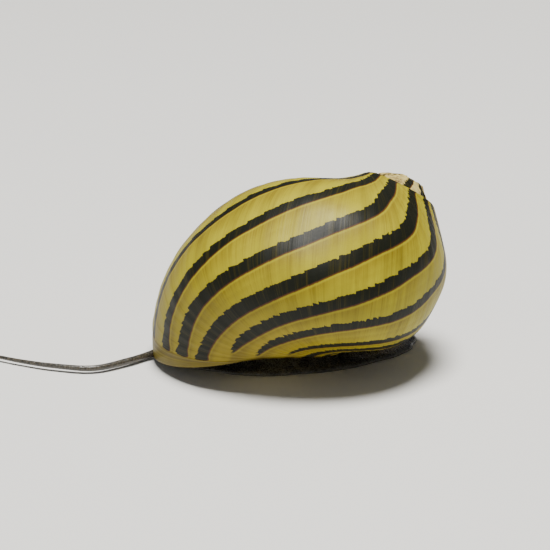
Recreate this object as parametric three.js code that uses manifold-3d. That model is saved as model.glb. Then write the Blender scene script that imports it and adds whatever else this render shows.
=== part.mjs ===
import * as THREE from 'three';
import { mergeVertices } from 'three/addons/utils/BufferGeometryUtils.js';
import Module from 'manifold-3d';

const wasm = await Module();
wasm.setup();

// A zebra nerite, a living adult, in millimetres. It crawls towards -X with its left side at -Y.
// The origin is the middle of the sole, which lies flat on the floor at z = 0.

// Driving sizes of the foot
const FOOT_HALF_LENGTH = 9.3;
const FOOT_HALF_WIDTH = 5.8;
const FOOT_HEIGHT = 2.1;
const FOOT_TAPER = 0.14; // how much narrower the foot is behind than in front
const FOOT_CUTS = [-4.4, 3.2];
const FOOT_CORNERS = 44;
// The foot's section from the middle out to its margin and up to its back: shares of its width and height
const FOOT_PROFILE = [
  [0, 0], [0.93, 0], [0.985, 0.12], [1, 0.3], [0.975, 0.5],
  [0.9, 0.66], [0.75, 0.8], [0.55, 0.9], [0.3, 0.97], [0, 1],
];
const GAP = 0.3; // between pieces that touch
const SMALLEST_EDGE = 0.006;

// Driving sizes of the shell, which grows as a spiral from its tip to its lip
const TIP = new THREE.Vector3(9.25, -0.53, 13.32);
const COIL_AZIMUTH = 0.5125;
const COIL_RISE = 0.75;
const COIL_AXIS = new THREE.Vector3(
  Math.cos(COIL_RISE) * Math.cos(COIL_AZIMUTH),
  Math.cos(COIL_RISE) * Math.sin(COIL_AZIMUTH),
  Math.sin(COIL_RISE),
);
const TURN = 2 * Math.PI;
const GROWTH = 1.0246 / TURN; // natural logarithm of the widening, for each radian
const GROWTH_SLOWING = 0.00037;
const WHORLS = 1.75;

// The shell's mouth, an egg seen from below, its plane sloping up to the rear
const MOUTH_CENTRE = new THREE.Vector3(0.765, -2.95, 3.53);
const MOUTH_HALF_LENGTH = 12.11;
const MOUTH_HALF_WIDTH = 9.02;
const MOUTH_TURN = -0.5964;
const MOUTH_SLOPE_X = 0.3058;
const MOUTH_SLOPE_Y = -0.14;
const MOUTH_BOW = 0.00386; // how far the rim rises away from its plane, times the distance squared
const MOUTH_EGG = -0.098;
const MOUTH_THREE = [-0.007, -0.0202]; // cosine and sine shares of a three-lobed change
const MOUTH_FOUR = [-0.023, -0.001];
const NEAR_FULLNESS = 0.054; // the near part of the lip stands out a little
const NEAR_AT = 4.35;
const NEAR_WIDTH = 0.35;
const ARCH_TURN = 0.1; // the lip is drawn back in front, in an arch where the head looks out
const ARCH_FROM = 2.5;
const ARCH_TO = 3.68;
const ARCH_EDGE = 0.3;
const ARCH_FADE = 0.5; // radians of growth over which the arch fades out
const SHOULDER_AT = 0.84; // where the outer wall starts, at the suture
const BASE_AT = 4.6; // where it ends, at the inner lip
const AXIS_CLEAR = 0.3;
const ROUND_SHOULDER = 0.14; // how much of the shoulder's ledge is rounded
const CORE_RADIUS = 0.75; // the solid core along the axis, a cone that ends just short of the tip
const CORE_REACH = 0.92;
const TIP_RADIUS = 0.6; // the worn, blunt tip
const TIP_DEPTH = 1.05;
const SPIRE_DEPTH = 4.2; // how deep the spire's piece reaches below the tip
const SPIRE_END_CLEAR = 0.7; // radians kept clear past the oldest whorl's end, for each mm of gap

// How finely the coil is drawn
const LENGTH_TURNS = 0.45; // longest piece of coil swept in one go
const WHORL_RINGS = 44; // rings for each turn
const WHORL_STEPS = 36; // steps round the outer wall
const SPIRE_RINGS = 30;
const SPIRE_STEPS = 22;
const HOLLOW_RINGS = 60;
const HOLLOW_STEPS = 26;
const BODY_TURNS = 1.25; // the last whorl's piece reaches back this far, under the spire's

const LIP_WALL = 0.7;
const HOLLOW_TURN = 0.42; // how far back into the last whorl the mouth's hollow goes
const HOLLOW_BELOW = 0.05; // how far the same sweep is carried on past the lip
const OLD_FROM = -0.3 * TURN; // growth older than this has no hollow
const HOLLOW_ENDS = 0.13; // radians kept clear at each end of the outer wall, for each mm of inset
const HOLLOW_FROM_AXIS = 0.6;
const INNER_LIP_RADII = new THREE.Vector3(6.8, 2.5, 0.55);
const INNER_LIP_RECESS = 0.6;
const TEETH = 5;
const TEETH_SPAN = 4.6;
const TOOTH_RADII = new THREE.Vector3(0.36, 0.5, 0.34);

// The mantle closes the hollow above this plane
const MANTLE_LEVEL = 4.7;
const MANTLE_SLOPE = 0.13;
const MANTLE_RECESS = 0.05; // radians of growth that the mantle stays behind the lip

// The lid on the back of the foot
const LID_LENGTH = 7.6;
const LID_WIDTH = 4.2;
const LID_THICKNESS = 0.6;
const LID_AT = new THREE.Vector3(5.2, 1.6, 2.55);
const LID_ROLL = -0.1;
const LID_PITCH = 0.06;
const LID_TURN = 0.25;

// Body and head
const BODY = new THREE.Vector3(-0.6, 0.9, 3.4);
const BODY_RADII = new THREE.Vector3(7.4, 4.6, 3.2);
const HEAD_CUT = -5.6;
const HEAD = new THREE.Vector3(-6.9, 1.2, 2.0);
const HEAD_RADII = new THREE.Vector3(2.5, 2.6, 1.5);
const SNOUT = new THREE.Vector3(-8.5, 1.2, 1.7);
const SNOUT_RADII = new THREE.Vector3(1.3, 1.7, 0.9);
const SNOUT_CUT = -8.3;

// Feelers
const FEELER_ROOT_RADIUS = 0.3;
const FEELER_TIP_RADIUS = 0.12;
const FEELER_PARTS = 4;
const FEELER_THINNING = 0.8;
const FEELER_SIDES = 10;
const FEELER_RINGS = 34;
const FEELER_FRAMES = 200;
const LEFT_FEELER = [
  new THREE.Vector3(-8.3, -0.6, 1.75),
  new THREE.Vector3(-9.7, -0.4, 0.95),
  new THREE.Vector3(-11.1, -0.55, 0.42),
  new THREE.Vector3(-13.2, -1.8, 0.42),
  new THREE.Vector3(-15.9, -2.75, 0.4),
  new THREE.Vector3(-18.7, -1.75, 0.4),
  new THREE.Vector3(-21.0, -0.25, 0.36),
  new THREE.Vector3(-23.2, 1.5, 0.36),
];
const RIGHT_FEELER = [
  new THREE.Vector3(-8.1, 3.0, 1.75),
  new THREE.Vector3(-8.3, 4.4, 1.1),
  new THREE.Vector3(-8.1, 6.0, 0.5),
  new THREE.Vector3(-7.1, 8.5, 0.42),
  new THREE.Vector3(-5.6, 11.2, 0.55),
  new THREE.Vector3(-4.6, 13.8, 0.5),
  new THREE.Vector3(-4.7, 16.4, 0.4),
];

// Eyes; the stalk's y is its distance from the head's middle
const EYE_RADIUS = 0.3;
const EYE_STALK = new THREE.Vector3(-7.3, 2.1, 2.2);
const EYE_STALK_RADII = new THREE.Vector3(0.55, 0.5, 0.6);
const EYE_OUT = new THREE.Vector3(-0.35, 0.35, 0.35);

const materials = {
  shell: new THREE.MeshStandardMaterial({ color: 0xb3a042, roughness: 0.4, metalness: 0 }),
  spire: new THREE.MeshStandardMaterial({ color: 0xd8cf9a, roughness: 0.6, metalness: 0 }),
  innerLip: new THREE.MeshStandardMaterial({ color: 0xe6dcb0, roughness: 0.3, metalness: 0 }),
  operculum: new THREE.MeshStandardMaterial({ color: 0xb9a183, roughness: 0.4, metalness: 0 }),
  flesh: new THREE.MeshStandardMaterial({ color: 0x3a3a33, roughness: 0.5, metalness: 0 }),
  feeler: new THREE.MeshStandardMaterial({ color: 0x4a4438, roughness: 0.5, metalness: 0 }),
  eye: new THREE.MeshStandardMaterial({ color: 0x060606, roughness: 0.1, metalness: 0 }),
};

const model = new THREE.Group();

// Solids

function solidOf(geometry) {
  geometry.deleteAttribute('normal');
  geometry.deleteAttribute('uv');
  const closed = mergeVertices(geometry, 1e-4);
  const mesh = new wasm.Mesh({
    numProp: 3,
    vertProperties: new Float32Array(closed.attributes.position.array),
    triVerts: new Uint32Array(closed.index.array),
  });
  return new wasm.Manifold(mesh);
}

function largestOf(solid) {
  const pieces = solid.decompose();
  pieces.sort((a, b) => b.volume() - a.volume());
  return pieces[0];
}

// Two corners of one surface on the same spot are drawn in, so that the surface doesn't touch itself
function partCorners(geometry) {
  geometry.computeVertexNormals();
  const corners = geometry.attributes.position;
  const normals = geometry.attributes.normal;
  const spots = new Map();
  const twins = new Set();
  const spot = new THREE.Vector3();
  for (let i = 0; i < corners.count; i += 1) {
    spot.fromBufferAttribute(corners, i);
    const key = spot.toArray().map((v) => Math.round(v / SMALLEST_EDGE * 2)).join();
    if (spots.has(key)) {
      twins.add(i).add(spots.get(key));
    }
    spots.set(key, i);
  }
  for (const i of twins) {
    const normal = new THREE.Vector3().fromBufferAttribute(normals, i);
    spot.fromBufferAttribute(corners, i).addScaledVector(normal, -SMALLEST_EDGE);
    corners.setXYZ(i, spot.x, spot.y, spot.z);
  }
  geometry.deleteAttribute('normal');
}

function addNode(name, solid, material) {
  const mesh = largestOf(solid.asOriginal().simplify(SMALLEST_EDGE)).getMesh();
  const geometry = new THREE.BufferGeometry();
  const corners = new THREE.BufferAttribute(new Float32Array(mesh.vertProperties), 3);
  geometry.setAttribute('position', corners);
  geometry.setIndex(new THREE.BufferAttribute(new Uint32Array(mesh.triVerts), 1));
  partCorners(geometry);
  const node = new THREE.Mesh(geometry, material);
  node.name = name;
  model.add(node);
}

// A closed body through rings of points, each end closed by a fan from one corner of its ring
function loft(rings, corner) {
  const around = rings[0].length;
  const positions = rings.flat().flatMap((p) => [p.x, p.y, p.z]);
  const index = [];
  for (let i = 0; i + 1 < rings.length; i += 1) {
    for (let j = 0; j < around; j += 1) {
      const a = i * around + j;
      const b = i * around + (j + 1) % around;
      index.push(a, b, a + around, b, b + around, a + around);
    }
  }
  const last = (rings.length - 1) * around;
  for (let j = 1; j + 1 < around; j += 1) {
    const b = (corner + j) % around;
    const c = (corner + j + 1) % around;
    index.push(corner, c, b, last + corner, last + b, last + c);
  }
  const geometry = new THREE.BufferGeometry();
  geometry.setAttribute('position', new THREE.Float32BufferAttribute(positions, 3));
  geometry.setIndex(index);
  if (signedVolume(positions, index) < 0) {
    geometry.setIndex(index.slice().reverse());
  }
  return solidOf(geometry);
}

function signedVolume(positions, index) {
  const at = (i) => new THREE.Vector3().fromArray(positions, 3 * i);
  let sum = 0;
  for (let i = 0; i < index.length; i += 3) {
    sum += at(index[i]).dot(at(index[i + 1]).cross(at(index[i + 2])));
  }
  return sum / 6;
}

function ellipsoid(centre, radii, around, along) {
  const geometry = new THREE.SphereGeometry(1, around, along);
  geometry.scale(radii.x, radii.y, radii.z);
  geometry.translate(centre.x, centre.y, centre.z);
  return solidOf(geometry);
}

function block(centre, size) {
  const geometry = new THREE.BoxGeometry(size.x, size.y, size.z);
  geometry.translate(centre.x, centre.y, centre.z);
  return solidOf(geometry);
}

// The shell's spiral

function growthScale(theta) {
  return Math.exp(GROWTH * theta - GROWTH_SLOWING * theta * theta);
}

function grown(point, theta) {
  const arm = point.clone().sub(TIP).applyAxisAngle(COIL_AXIS, -theta);
  return TIP.clone().addScaledVector(arm, growthScale(theta));
}

function rimPoint(phi) {
  const lobes = 1
    + MOUTH_THREE[0] * Math.cos(3 * phi) + MOUTH_THREE[1] * Math.sin(3 * phi)
    + MOUTH_FOUR[0] * Math.cos(4 * phi) + MOUTH_FOUR[1] * Math.sin(4 * phi);
  const along = MOUTH_HALF_LENGTH * lobes * Math.cos(phi);
  const across = MOUTH_HALF_WIDTH * lobes * Math.sin(phi) * (1 + MOUTH_EGG * Math.cos(phi));
  const x = Math.cos(MOUTH_TURN) * along - Math.sin(MOUTH_TURN) * across;
  const y = Math.sin(MOUTH_TURN) * along + Math.cos(MOUTH_TURN) * across;
  const z = MOUTH_SLOPE_X * x + MOUTH_SLOPE_Y * y + MOUTH_BOW * (x * x + y * y);
  const fullness = 1 + NEAR_FULLNESS * Math.exp(-(((phi - NEAR_AT) / NEAR_WIDTH) ** 2));
  return new THREE.Vector3(x, y, z).multiplyScalar(fullness);
}

// The point of the coiling axis at the mouth's plane, and the one level with the shoulder
const mouthNormal = new THREE.Vector3(-MOUTH_SLOPE_X, -MOUTH_SLOPE_Y, 1).normalize();
const axisFoot = TIP.clone().addScaledVector(
  COIL_AXIS,
  MOUTH_CENTRE.clone().sub(TIP).dot(mouthNormal) / COIL_AXIS.dot(mouthNormal),
);
const shoulder = MOUTH_CENTRE.clone().add(rimPoint(SHOULDER_AT));
const shoulderLevel = shoulder.clone().sub(TIP).dot(COIL_AXIS);
const axisTop = TIP.clone().addScaledVector(COIL_AXIS, shoulderLevel);

function offAxis(axisPoint, towards, distance) {
  const arm = towards.clone().sub(axisPoint);
  arm.addScaledVector(COIL_AXIS, -arm.dot(COIL_AXIS)).normalize();
  return axisPoint.clone().addScaledVector(arm, distance);
}

// Points of a section carry how far growth is held back there, for the arch
function marked(point, phi) {
  const rise = THREE.MathUtils.smoothstep(phi, ARCH_FROM, ARCH_FROM + ARCH_EDGE);
  const hold = ARCH_TURN * rise * (1 - THREE.MathUtils.smoothstep(phi, ARCH_TO - ARCH_EDGE, ARCH_TO));
  return { point, hold };
}

function outerPoint(phi, grow) {
  const arm = rimPoint(phi);
  return MOUTH_CENTRE.clone().addScaledVector(arm, 1 + grow / arm.length());
}

function outerArc(steps, grow, from, to) {
  const points = [];
  for (let i = 0; i <= steps; i += 1) {
    const phi = from + (to - from) * i / steps;
    points.push(marked(outerPoint(phi, grow), phi));
  }
  return points;
}

// One section of the whorl as it was at the mouth: round the outer wall, to the axis and up it
function whorlSection(steps, grow) {
  const outer = outerArc(steps, grow, SHOULDER_AT + ROUND_SHOULDER, BASE_AT);
  const corner = outerPoint(SHOULDER_AT, grow);
  const high = offAxis(axisTop.clone().addScaledVector(COIL_AXIS, grow), corner, AXIS_CLEAR);
  const low = offAxis(axisFoot.clone().addScaledVector(COIL_AXIS, -grow), MOUTH_CENTRE, AXIS_CLEAR);
  const ledge = corner.clone().lerp(high, ROUND_SHOULDER);
  const round = new THREE.QuadraticBezierCurve3(ledge, corner, outer[0].point).getPoints(4).slice(0, 4);
  return [low, high, ...round].map((p) => ({ point: p, hold: 0 })).concat(outer);
}

// The mouth's hollow: the same section, drawn in by the wall and kept off the axis
function hollowSection(steps, inset) {
  const ends = inset * HOLLOW_ENDS;
  const outer = outerArc(steps, -inset, SHOULDER_AT + ends, BASE_AT - ends);
  const inner = offAxis(axisFoot, MOUTH_CENTRE, HOLLOW_FROM_AXIS + inset);
  return [{ point: inner, hold: 0 }, ...outer];
}

function sweep(sectionAt, from, to, perTurn) {
  const rings = [];
  const count = Math.max(2, Math.round(Math.abs(to - from) / TURN * perTurn));
  for (let i = 0; i <= count; i += 1) {
    const theta = from + (to - from) * i / count;
    const fade = Math.exp(-((theta / ARCH_FADE) ** 2));
    rings.push(sectionAt(theta).map((m) => grown(m.point, theta - m.hold * fade)));
  }
  return loft(rings, 0);
}

// The coil is joined from lengths of under half a turn
function coil(from, to, perTurn, steps, grow) {
  const lengths = Math.ceil((from - to) / TURN / LENGTH_TURNS);
  let solid = null;
  for (let i = 0; i < lengths; i += 1) {
    const a = from + (to - from) * i / lengths;
    const b = from + (to - from) * (i + 1) / lengths;
    const length = sweep((theta) => whorlSection(steps, grow / growthScale(theta)), a, b, perTurn);
    solid = solid ? solid.add(length) : length;
  }
  return solid;
}

function core(grow) {
  const length = axisFoot.distanceTo(TIP);
  const narrow = CORE_RADIUS * (1 - CORE_REACH) + grow;
  const cone = new THREE.CylinderGeometry(narrow, CORE_RADIUS + grow, length * CORE_REACH, 16);
  cone.translate(0, length * CORE_REACH / 2, 0);
  cone.applyQuaternion(new THREE.Quaternion().setFromUnitVectors(new THREE.Vector3(0, 1, 0), COIL_AXIS));
  cone.translate(axisFoot.x, axisFoot.y, axisFoot.z);
  return solidOf(cone);
}

// Half spaces, as large blocks: what lies above a sloping plane, and beyond an upright one
const LARGE = 60;
function above(level, slope) {
  const geometry = new THREE.BoxGeometry(LARGE, LARGE, LARGE);
  geometry.translate(0, 0, LARGE / 2);
  geometry.rotateY(-Math.atan(slope));
  geometry.translate(0, 0, level);
  return solidOf(geometry);
}

function between(x0, x1) {
  return block(new THREE.Vector3((x0 + x1) / 2, 0, 0), new THREE.Vector3(x1 - x0, LARGE, LARGE));
}

// Shell: the last whorl, the worn spire set in its top, and the shelf of the inner lip

const tipCentre = TIP.clone().addScaledVector(COIL_AXIS, -TIP_DEPTH);

function spire(grow) {
  const tipRadius = TIP_RADIUS + grow;
  const tip = ellipsoid(tipCentre, new THREE.Vector3(tipRadius, tipRadius, tipRadius), 14, 10);
  const cut = new THREE.BoxGeometry(LARGE, LARGE, LARGE);
  cut.translate(0, LARGE / 2, 0);
  cut.applyQuaternion(new THREE.Quaternion().setFromUnitVectors(new THREE.Vector3(0, 1, 0), COIL_AXIS));
  const floor = TIP.clone().addScaledVector(COIL_AXIS, -SPIRE_DEPTH - grow);
  cut.translate(floor.x, floor.y, floor.z);
  const end = -TURN * WHORLS - grow * SPIRE_END_CLEAR;
  const whorls = coil(-TURN, end, SPIRE_RINGS, SPIRE_STEPS, grow);
  return whorls.add(core(grow)).add(tip).intersect(solidOf(cut));
}

function hollow(inset, from, to) {
  return sweep(() => hollowSection(HOLLOW_STEPS, inset), from, to, HOLLOW_RINGS);
}

// The hollow is cut from the newest growth alone, so that the rounded back stays whole beside the mouth
function newGrowth(grow) {
  return coil(0, OLD_FROM, WHORL_RINGS, WHORL_STEPS, grow);
}

function oldGrowth(grow) {
  return coil(OLD_FROM, -TURN * BODY_TURNS, WHORL_RINGS, WHORL_STEPS, grow).add(core(grow));
}

const shellWall = newGrowth(0).subtract(hollow(LIP_WALL, HOLLOW_BELOW, -HOLLOW_TURN)).add(oldGrowth(0));
addNode('shell_body_whorl', shellWall.subtract(spire(GAP)), materials.shell);
addNode('shell_spire', spire(0), materials.spire);

// What the flesh may not enter: the shell with a gap all round, less the room inside its mouth
const oldKept = oldGrowth(GAP);
const roomEnd = -HOLLOW_TURN + GAP / MOUTH_HALF_LENGTH;
const room = hollow(LIP_WALL + GAP, HOLLOW_BELOW + GAP / MOUTH_HALF_WIDTH, roomEnd).subtract(oldKept);
const newKept = newGrowth(GAP);
const belowRim = newKept.translate(mouthNormal.clone().multiplyScalar(-GAP).toArray());
const kept = newKept.add(belowRim).subtract(room).add(oldKept);

// The shelf: a thick, low swelling along the straight inner side of the mouth, finely toothed on its edge
const rimFront = outerPoint(BASE_AT, 0);
const alongLip = shoulder.clone().sub(rimFront).normalize();
const acrossLip = mouthNormal.clone().cross(alongLip).normalize();
const upFromLip = alongLip.clone().cross(acrossLip);
const lipPlace = new THREE.Matrix4().makeBasis(alongLip, acrossLip, upFromLip);
lipPlace.setPosition(offAxis(axisFoot, MOUTH_CENTRE, HOLLOW_FROM_AXIS + LIP_WALL));

function lipSwelling(centre, radii, around, along) {
  const geometry = new THREE.SphereGeometry(1, around, along);
  geometry.scale(radii.x, radii.y, radii.z);
  geometry.translate(centre.x, centre.y, centre.z);
  geometry.applyMatrix4(lipPlace);
  return solidOf(geometry);
}

function innerLip(grow) {
  const radii = INNER_LIP_RADII.clone().addScalar(grow);
  let lip = lipSwelling(new THREE.Vector3(0, 0, INNER_LIP_RECESS), radii, 30, 14);
  for (let i = 0; i < TEETH; i += 1) {
    const x = TEETH_SPAN * ((i + 0.5) / TEETH - 0.5);
    const edge = INNER_LIP_RADII.y * Math.sqrt(1 - (x / INNER_LIP_RADII.x) ** 2);
    const at = new THREE.Vector3(x, edge - TOOTH_RADII.y / 2, INNER_LIP_RECESS);
    lip = lip.add(lipSwelling(at, TOOTH_RADII.clone().addScalar(grow), 10, 8));
  }
  return lip;
}

addNode('shell_inner_lip', innerLip(0).intersect(room), materials.innerLip);
const taken = kept.add(innerLip(GAP));

// Mantle: the flesh that closes the hollow above the body
const ceiling = above(MANTLE_LEVEL, MANTLE_SLOPE);
const innerRoom = hollow(LIP_WALL + GAP, -MANTLE_RECESS, roomEnd).subtract(oldKept);
addNode('mantle', innerRoom.intersect(ceiling).subtract(innerLip(GAP)), materials.flesh);
const bodyRoof = above(MANTLE_LEVEL - GAP, MANTLE_SLOPE);

// Foot: a broad oval sole, flat below, with a thin rounded margin, parted across in three

function footShape(grow) {
  const points = FOOT_PROFILE.map(([r, z]) => new THREE.Vector2(r, z * FOOT_HEIGHT + (z > 0 ? grow : 0)));
  const geometry = new THREE.LatheGeometry(points, FOOT_CORNERS);
  geometry.rotateX(Math.PI / 2);
  const corners = geometry.attributes.position;
  for (let i = 0; i < corners.count; i += 1) {
    const x = corners.getX(i);
    const y = corners.getY(i);
    const blunt = 1 - FOOT_TAPER * x;
    corners.setX(i, x * (FOOT_HALF_LENGTH + grow));
    corners.setY(i, y * (FOOT_HALF_WIDTH + grow) * blunt);
  }
  return solidOf(geometry);
}

const foot = footShape(0).subtract(taken);
const middle = between(FOOT_CUTS[0] + GAP / 2, FOOT_CUTS[1] - GAP / 2);
addNode('foot_front', foot.intersect(between(-LARGE / 2, FOOT_CUTS[0] - GAP / 2)), materials.flesh);
addNode('foot_middle', foot.intersect(middle), materials.flesh);
addNode('foot_rear', foot.intersect(between(FOOT_CUTS[1] + GAP / 2, LARGE / 2)), materials.flesh);
const onFoot = taken.add(footShape(GAP)).add(bodyRoof);

// Operculum: the half-moon lid, carried on the back of the foot

function operculum(grow) {
  const shape = new THREE.Shape();
  shape.moveTo(-LID_LENGTH / 2 - grow, -grow);
  shape.absellipse(0, 0, LID_LENGTH / 2 + grow, LID_WIDTH + grow, Math.PI, 0, true);
  shape.lineTo(LID_LENGTH / 2 + grow, -grow);
  shape.closePath();
  const depth = LID_THICKNESS + 2 * grow;
  const geometry = new THREE.ExtrudeGeometry(shape, { depth, bevelEnabled: false, curveSegments: 24 });
  geometry.translate(0, -LID_WIDTH / 2, -grow);
  geometry.rotateX(LID_ROLL);
  geometry.rotateY(LID_PITCH);
  geometry.rotateZ(LID_TURN);
  geometry.translate(LID_AT.x, LID_AT.y, LID_AT.z);
  return solidOf(geometry);
}

addNode('operculum', operculum(0).subtract(onFoot), materials.operculum);

// Body, head and snout, parted by upright cuts

const body = ellipsoid(BODY, BODY_RADII, 36, 20).subtract(onFoot.add(operculum(GAP)));
addNode('body_column', body.intersect(between(HEAD_CUT + GAP / 2, LARGE / 2)), materials.flesh);
const head = ellipsoid(HEAD, HEAD_RADII, 28, 16).subtract(onFoot);
const snout = ellipsoid(SNOUT, SNOUT_RADII, 24, 14).subtract(onFoot);

// Feelers: tapered tubes along a curve, each in a few lengths

function feelerRadius(share) {
  return FEELER_TIP_RADIUS + (FEELER_ROOT_RADIUS - FEELER_TIP_RADIUS) * (1 - share) ** FEELER_THINNING;
}

function feelerLength(curve, from, to, grow) {
  const steps = Math.max(3, Math.round((to - from) * FEELER_RINGS));
  const frames = curve.computeFrenetFrames(FEELER_FRAMES, false);
  const rings = [];
  for (let i = 0; i <= steps; i += 1) {
    const share = from + (to - from) * i / steps;
    const at = Math.round(share * FEELER_FRAMES);
    const centre = curve.getPointAt(share);
    const radius = feelerRadius(share) + grow;
    const ring = [];
    for (let j = 0; j < FEELER_SIDES; j += 1) {
      const angle = TURN * j / FEELER_SIDES;
      ring.push(centre.clone()
        .addScaledVector(frames.normals[at], radius * Math.cos(angle))
        .addScaledVector(frames.binormals[at], radius * Math.sin(angle)));
    }
    rings.push(ring);
  }
  return loft(rings, 0);
}

const feelers = {
  left: new THREE.CatmullRomCurve3(LEFT_FEELER),
  right: new THREE.CatmullRomCurve3(RIGHT_FEELER),
};
let feelerRoots = null;
for (const [side, curve] of Object.entries(feelers)) {
  const gap = GAP / curve.getLength();
  for (let i = 0; i < FEELER_PARTS; i += 1) {
    const length = feelerLength(curve, i / FEELER_PARTS + (i ? gap : 0), (i + 1) / FEELER_PARTS, 0);
    addNode(`tentacle_${side}_${i + 1}`, length.subtract(onFoot), materials.feeler);
  }
  const root = feelerLength(curve, 0, 0.5, GAP);
  feelerRoots = feelerRoots ? feelerRoots.add(root) : root;
}

// Eyes on short stalks, outside the feelers' roots
let stalkRoots = feelerRoots;
for (const [side, sign] of [['left', -1], ['right', 1]]) {
  const centre = EYE_STALK.clone();
  centre.y = HEAD.y + sign * EYE_STALK.y;
  const eye = centre.clone().add(new THREE.Vector3(EYE_OUT.x, sign * EYE_OUT.y, EYE_OUT.z));
  const eyeBall = (grow) => ellipsoid(eye, new THREE.Vector3().setScalar(EYE_RADIUS + grow), 14, 10);
  const stalk = (grow) => ellipsoid(centre, EYE_STALK_RADII.clone().addScalar(grow), 16, 12);
  addNode(`eye_${side}`, eyeBall(0), materials.eye);
  addNode(`eye_stalk_${side}`, stalk(0).subtract(eyeBall(GAP)).subtract(feelerRoots), materials.flesh);
  stalkRoots = stalkRoots.add(eyeBall(GAP)).add(stalk(GAP));
}

const headRoom = between(SNOUT_CUT + GAP / 2, HEAD_CUT - GAP / 2);
const snoutRoom = between(-LARGE / 2, SNOUT_CUT - GAP / 2);
addNode('head', head.intersect(headRoom).subtract(stalkRoots), materials.flesh);
addNode('snout', snout.intersect(snoutRoom).subtract(stalkRoots), materials.flesh);

export default model;
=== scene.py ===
"""A living zebra nerite, life size: its striped shell, one skin for all its flesh, its lid and its eyes."""
import math

import bmesh
import bpy
import numpy as np
from bpy.props import FloatProperty, FloatVectorProperty, IntProperty, PointerProperty
from mathutils import Matrix, Vector


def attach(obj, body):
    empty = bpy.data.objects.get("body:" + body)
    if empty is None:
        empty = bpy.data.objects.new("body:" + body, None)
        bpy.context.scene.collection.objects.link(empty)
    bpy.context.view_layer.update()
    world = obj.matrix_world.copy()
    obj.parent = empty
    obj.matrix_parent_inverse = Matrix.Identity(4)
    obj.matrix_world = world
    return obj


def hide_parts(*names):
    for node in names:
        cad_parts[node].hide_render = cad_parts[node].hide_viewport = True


bl_info = {
    "name": "Nerite snail",
    "version": (1, 0, 0),
    "blender": (4, 5, 0),
    "location": "3D View > Sidebar > Nerite",
    "description": "Builds a life-size striped nerite snail around its packed frame",
    "category": "Object",
}

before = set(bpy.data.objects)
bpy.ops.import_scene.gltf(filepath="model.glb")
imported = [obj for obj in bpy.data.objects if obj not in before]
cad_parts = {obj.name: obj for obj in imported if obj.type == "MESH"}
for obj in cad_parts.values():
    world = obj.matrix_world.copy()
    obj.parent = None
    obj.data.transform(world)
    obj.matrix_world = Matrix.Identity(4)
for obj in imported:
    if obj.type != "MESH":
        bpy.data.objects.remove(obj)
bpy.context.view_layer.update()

MM = 0.001
TURN = 2 * math.pi

# The shell's spiral, in millimetres, as the solids have it
TIP = np.array([9.25, -0.53, 13.32])
COIL_AZIMUTH, COIL_RISE = 0.5125, 0.75
COIL_AXIS = np.array([
    math.cos(COIL_RISE) * math.cos(COIL_AZIMUTH),
    math.cos(COIL_RISE) * math.sin(COIL_AZIMUTH),
    math.sin(COIL_RISE),
])
GROWTH, GROWTH_SLOWING = 1.0246 / TURN, 0.00037
MOUTH_CENTRE = np.array([0.765, -2.95, 3.53])
MOUTH_HALF_LENGTH, MOUTH_HALF_WIDTH, MOUTH_TURN = 12.11, 9.02, -0.5964
MOUTH_SLOPE = np.array([0.3058, -0.14])
MOUTH_BOW, MOUTH_EGG = 0.00386, -0.098
MOUTH_THREE, MOUTH_FOUR = (-0.007, -0.0202), (-0.023, -0.001)
NEAR_FULLNESS, NEAR_AT, NEAR_WIDTH = 0.054, 4.35, 0.35
# Where the whorl swells or draws in: share of the reach, place round it and spread, age and spread in radians
SWELLINGS = (
    (0.025, 0.65, 0.54, -3.2, 0.5),  # shoulder
    (-0.035, 1.41, 0.28, -2.03, 0.75),  # dip below the shoulder
    (-0.1, 2.54, 0.47, -3.0, 2.46),  # flank
    (0.07, 1.4, 0.6, -5.4, 0.8),  # far side, by the spire
    (0.12, 1.39, 0.98, -8.2, 1.5),  # spire
)
ARCH_TURN, ARCH_FROM, ARCH_TO, ARCH_EDGE, ARCH_FADE = 0.1, 2.5, 3.68, 0.3, 0.5
SHOULDER_AT, BASE_AT, ROUND_SHOULDER, AXIS_CLEAR = 0.84, 4.6, 0.14, 0.3
CORE_RADIUS, CORE_REACH = 0.75, 0.92
TIP_RADIUS, TIP_DEPTH, CORE_SIDES = 0.6, 1.05, 32
# The age and the place round the whorl that the core's and the tip's corners are given
CORE_GROWTH, TIP_GROWTH = (-12.0, 30.0, 0.0), (-11.5, 80.0, 0.0)
LIP_WALL, HOLLOW_TURN = 0.7, 0.42
HOLLOW_ENDS, HOLLOW_FROM_AXIS = 0.13, 0.6
LIP_EDGE, LIP_THICKENS = 0.3, 0.14  # the wall at the lip's edge, and how far back it reaches its full thickness
HOLLOW_STEPS, HOLLOW_RINGS, LENGTH_TURNS, NEWEST_TURNS = 170, 70, 0.42, 0.3

# The stripes: one rule gives the growth angle at which a stripe crosses each place round the whorl.
# Both are in degrees, the angle counted back from the lip and the place from the shoulder down to the base.
STRIPE_PLACES = (48, 60, 85, 110, 135, 160, 185, 205, 225, 245, 268)
STRIPE_RULE = (-255, -233, -201, -182, -161, -141, -116, -89, -54, -6, 55)
STRIPE_PITCH = 24.2
RULE_STRIPE = 4  # the rule is this stripe's own line, and the others follow a pitch apart
FIRST_STRIPE, LAST_STRIPE = -8, 34
DRIFT_PLACES = (60, 110, 160, 205, 245)
STRIPE_DRIFT = {  # how far each of the near side's stripes strays from the rule, in degrees
    1: (0, 2, 3, 2, 0), 2: (6, 2, 3, 1, 1), 3: (5, 0, 1, 3, 3), 4: (-2, 0, 1, 0, 4),
    5: (-7, -2, -1, 0, 0), 6: (-3, -3, -4, 1, 1), 7: (-8, -8, -8, -5, -1),
    18: (0, 0, 0, 0, 0), 20: (0, 0, 0, 0, 0),
}
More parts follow.
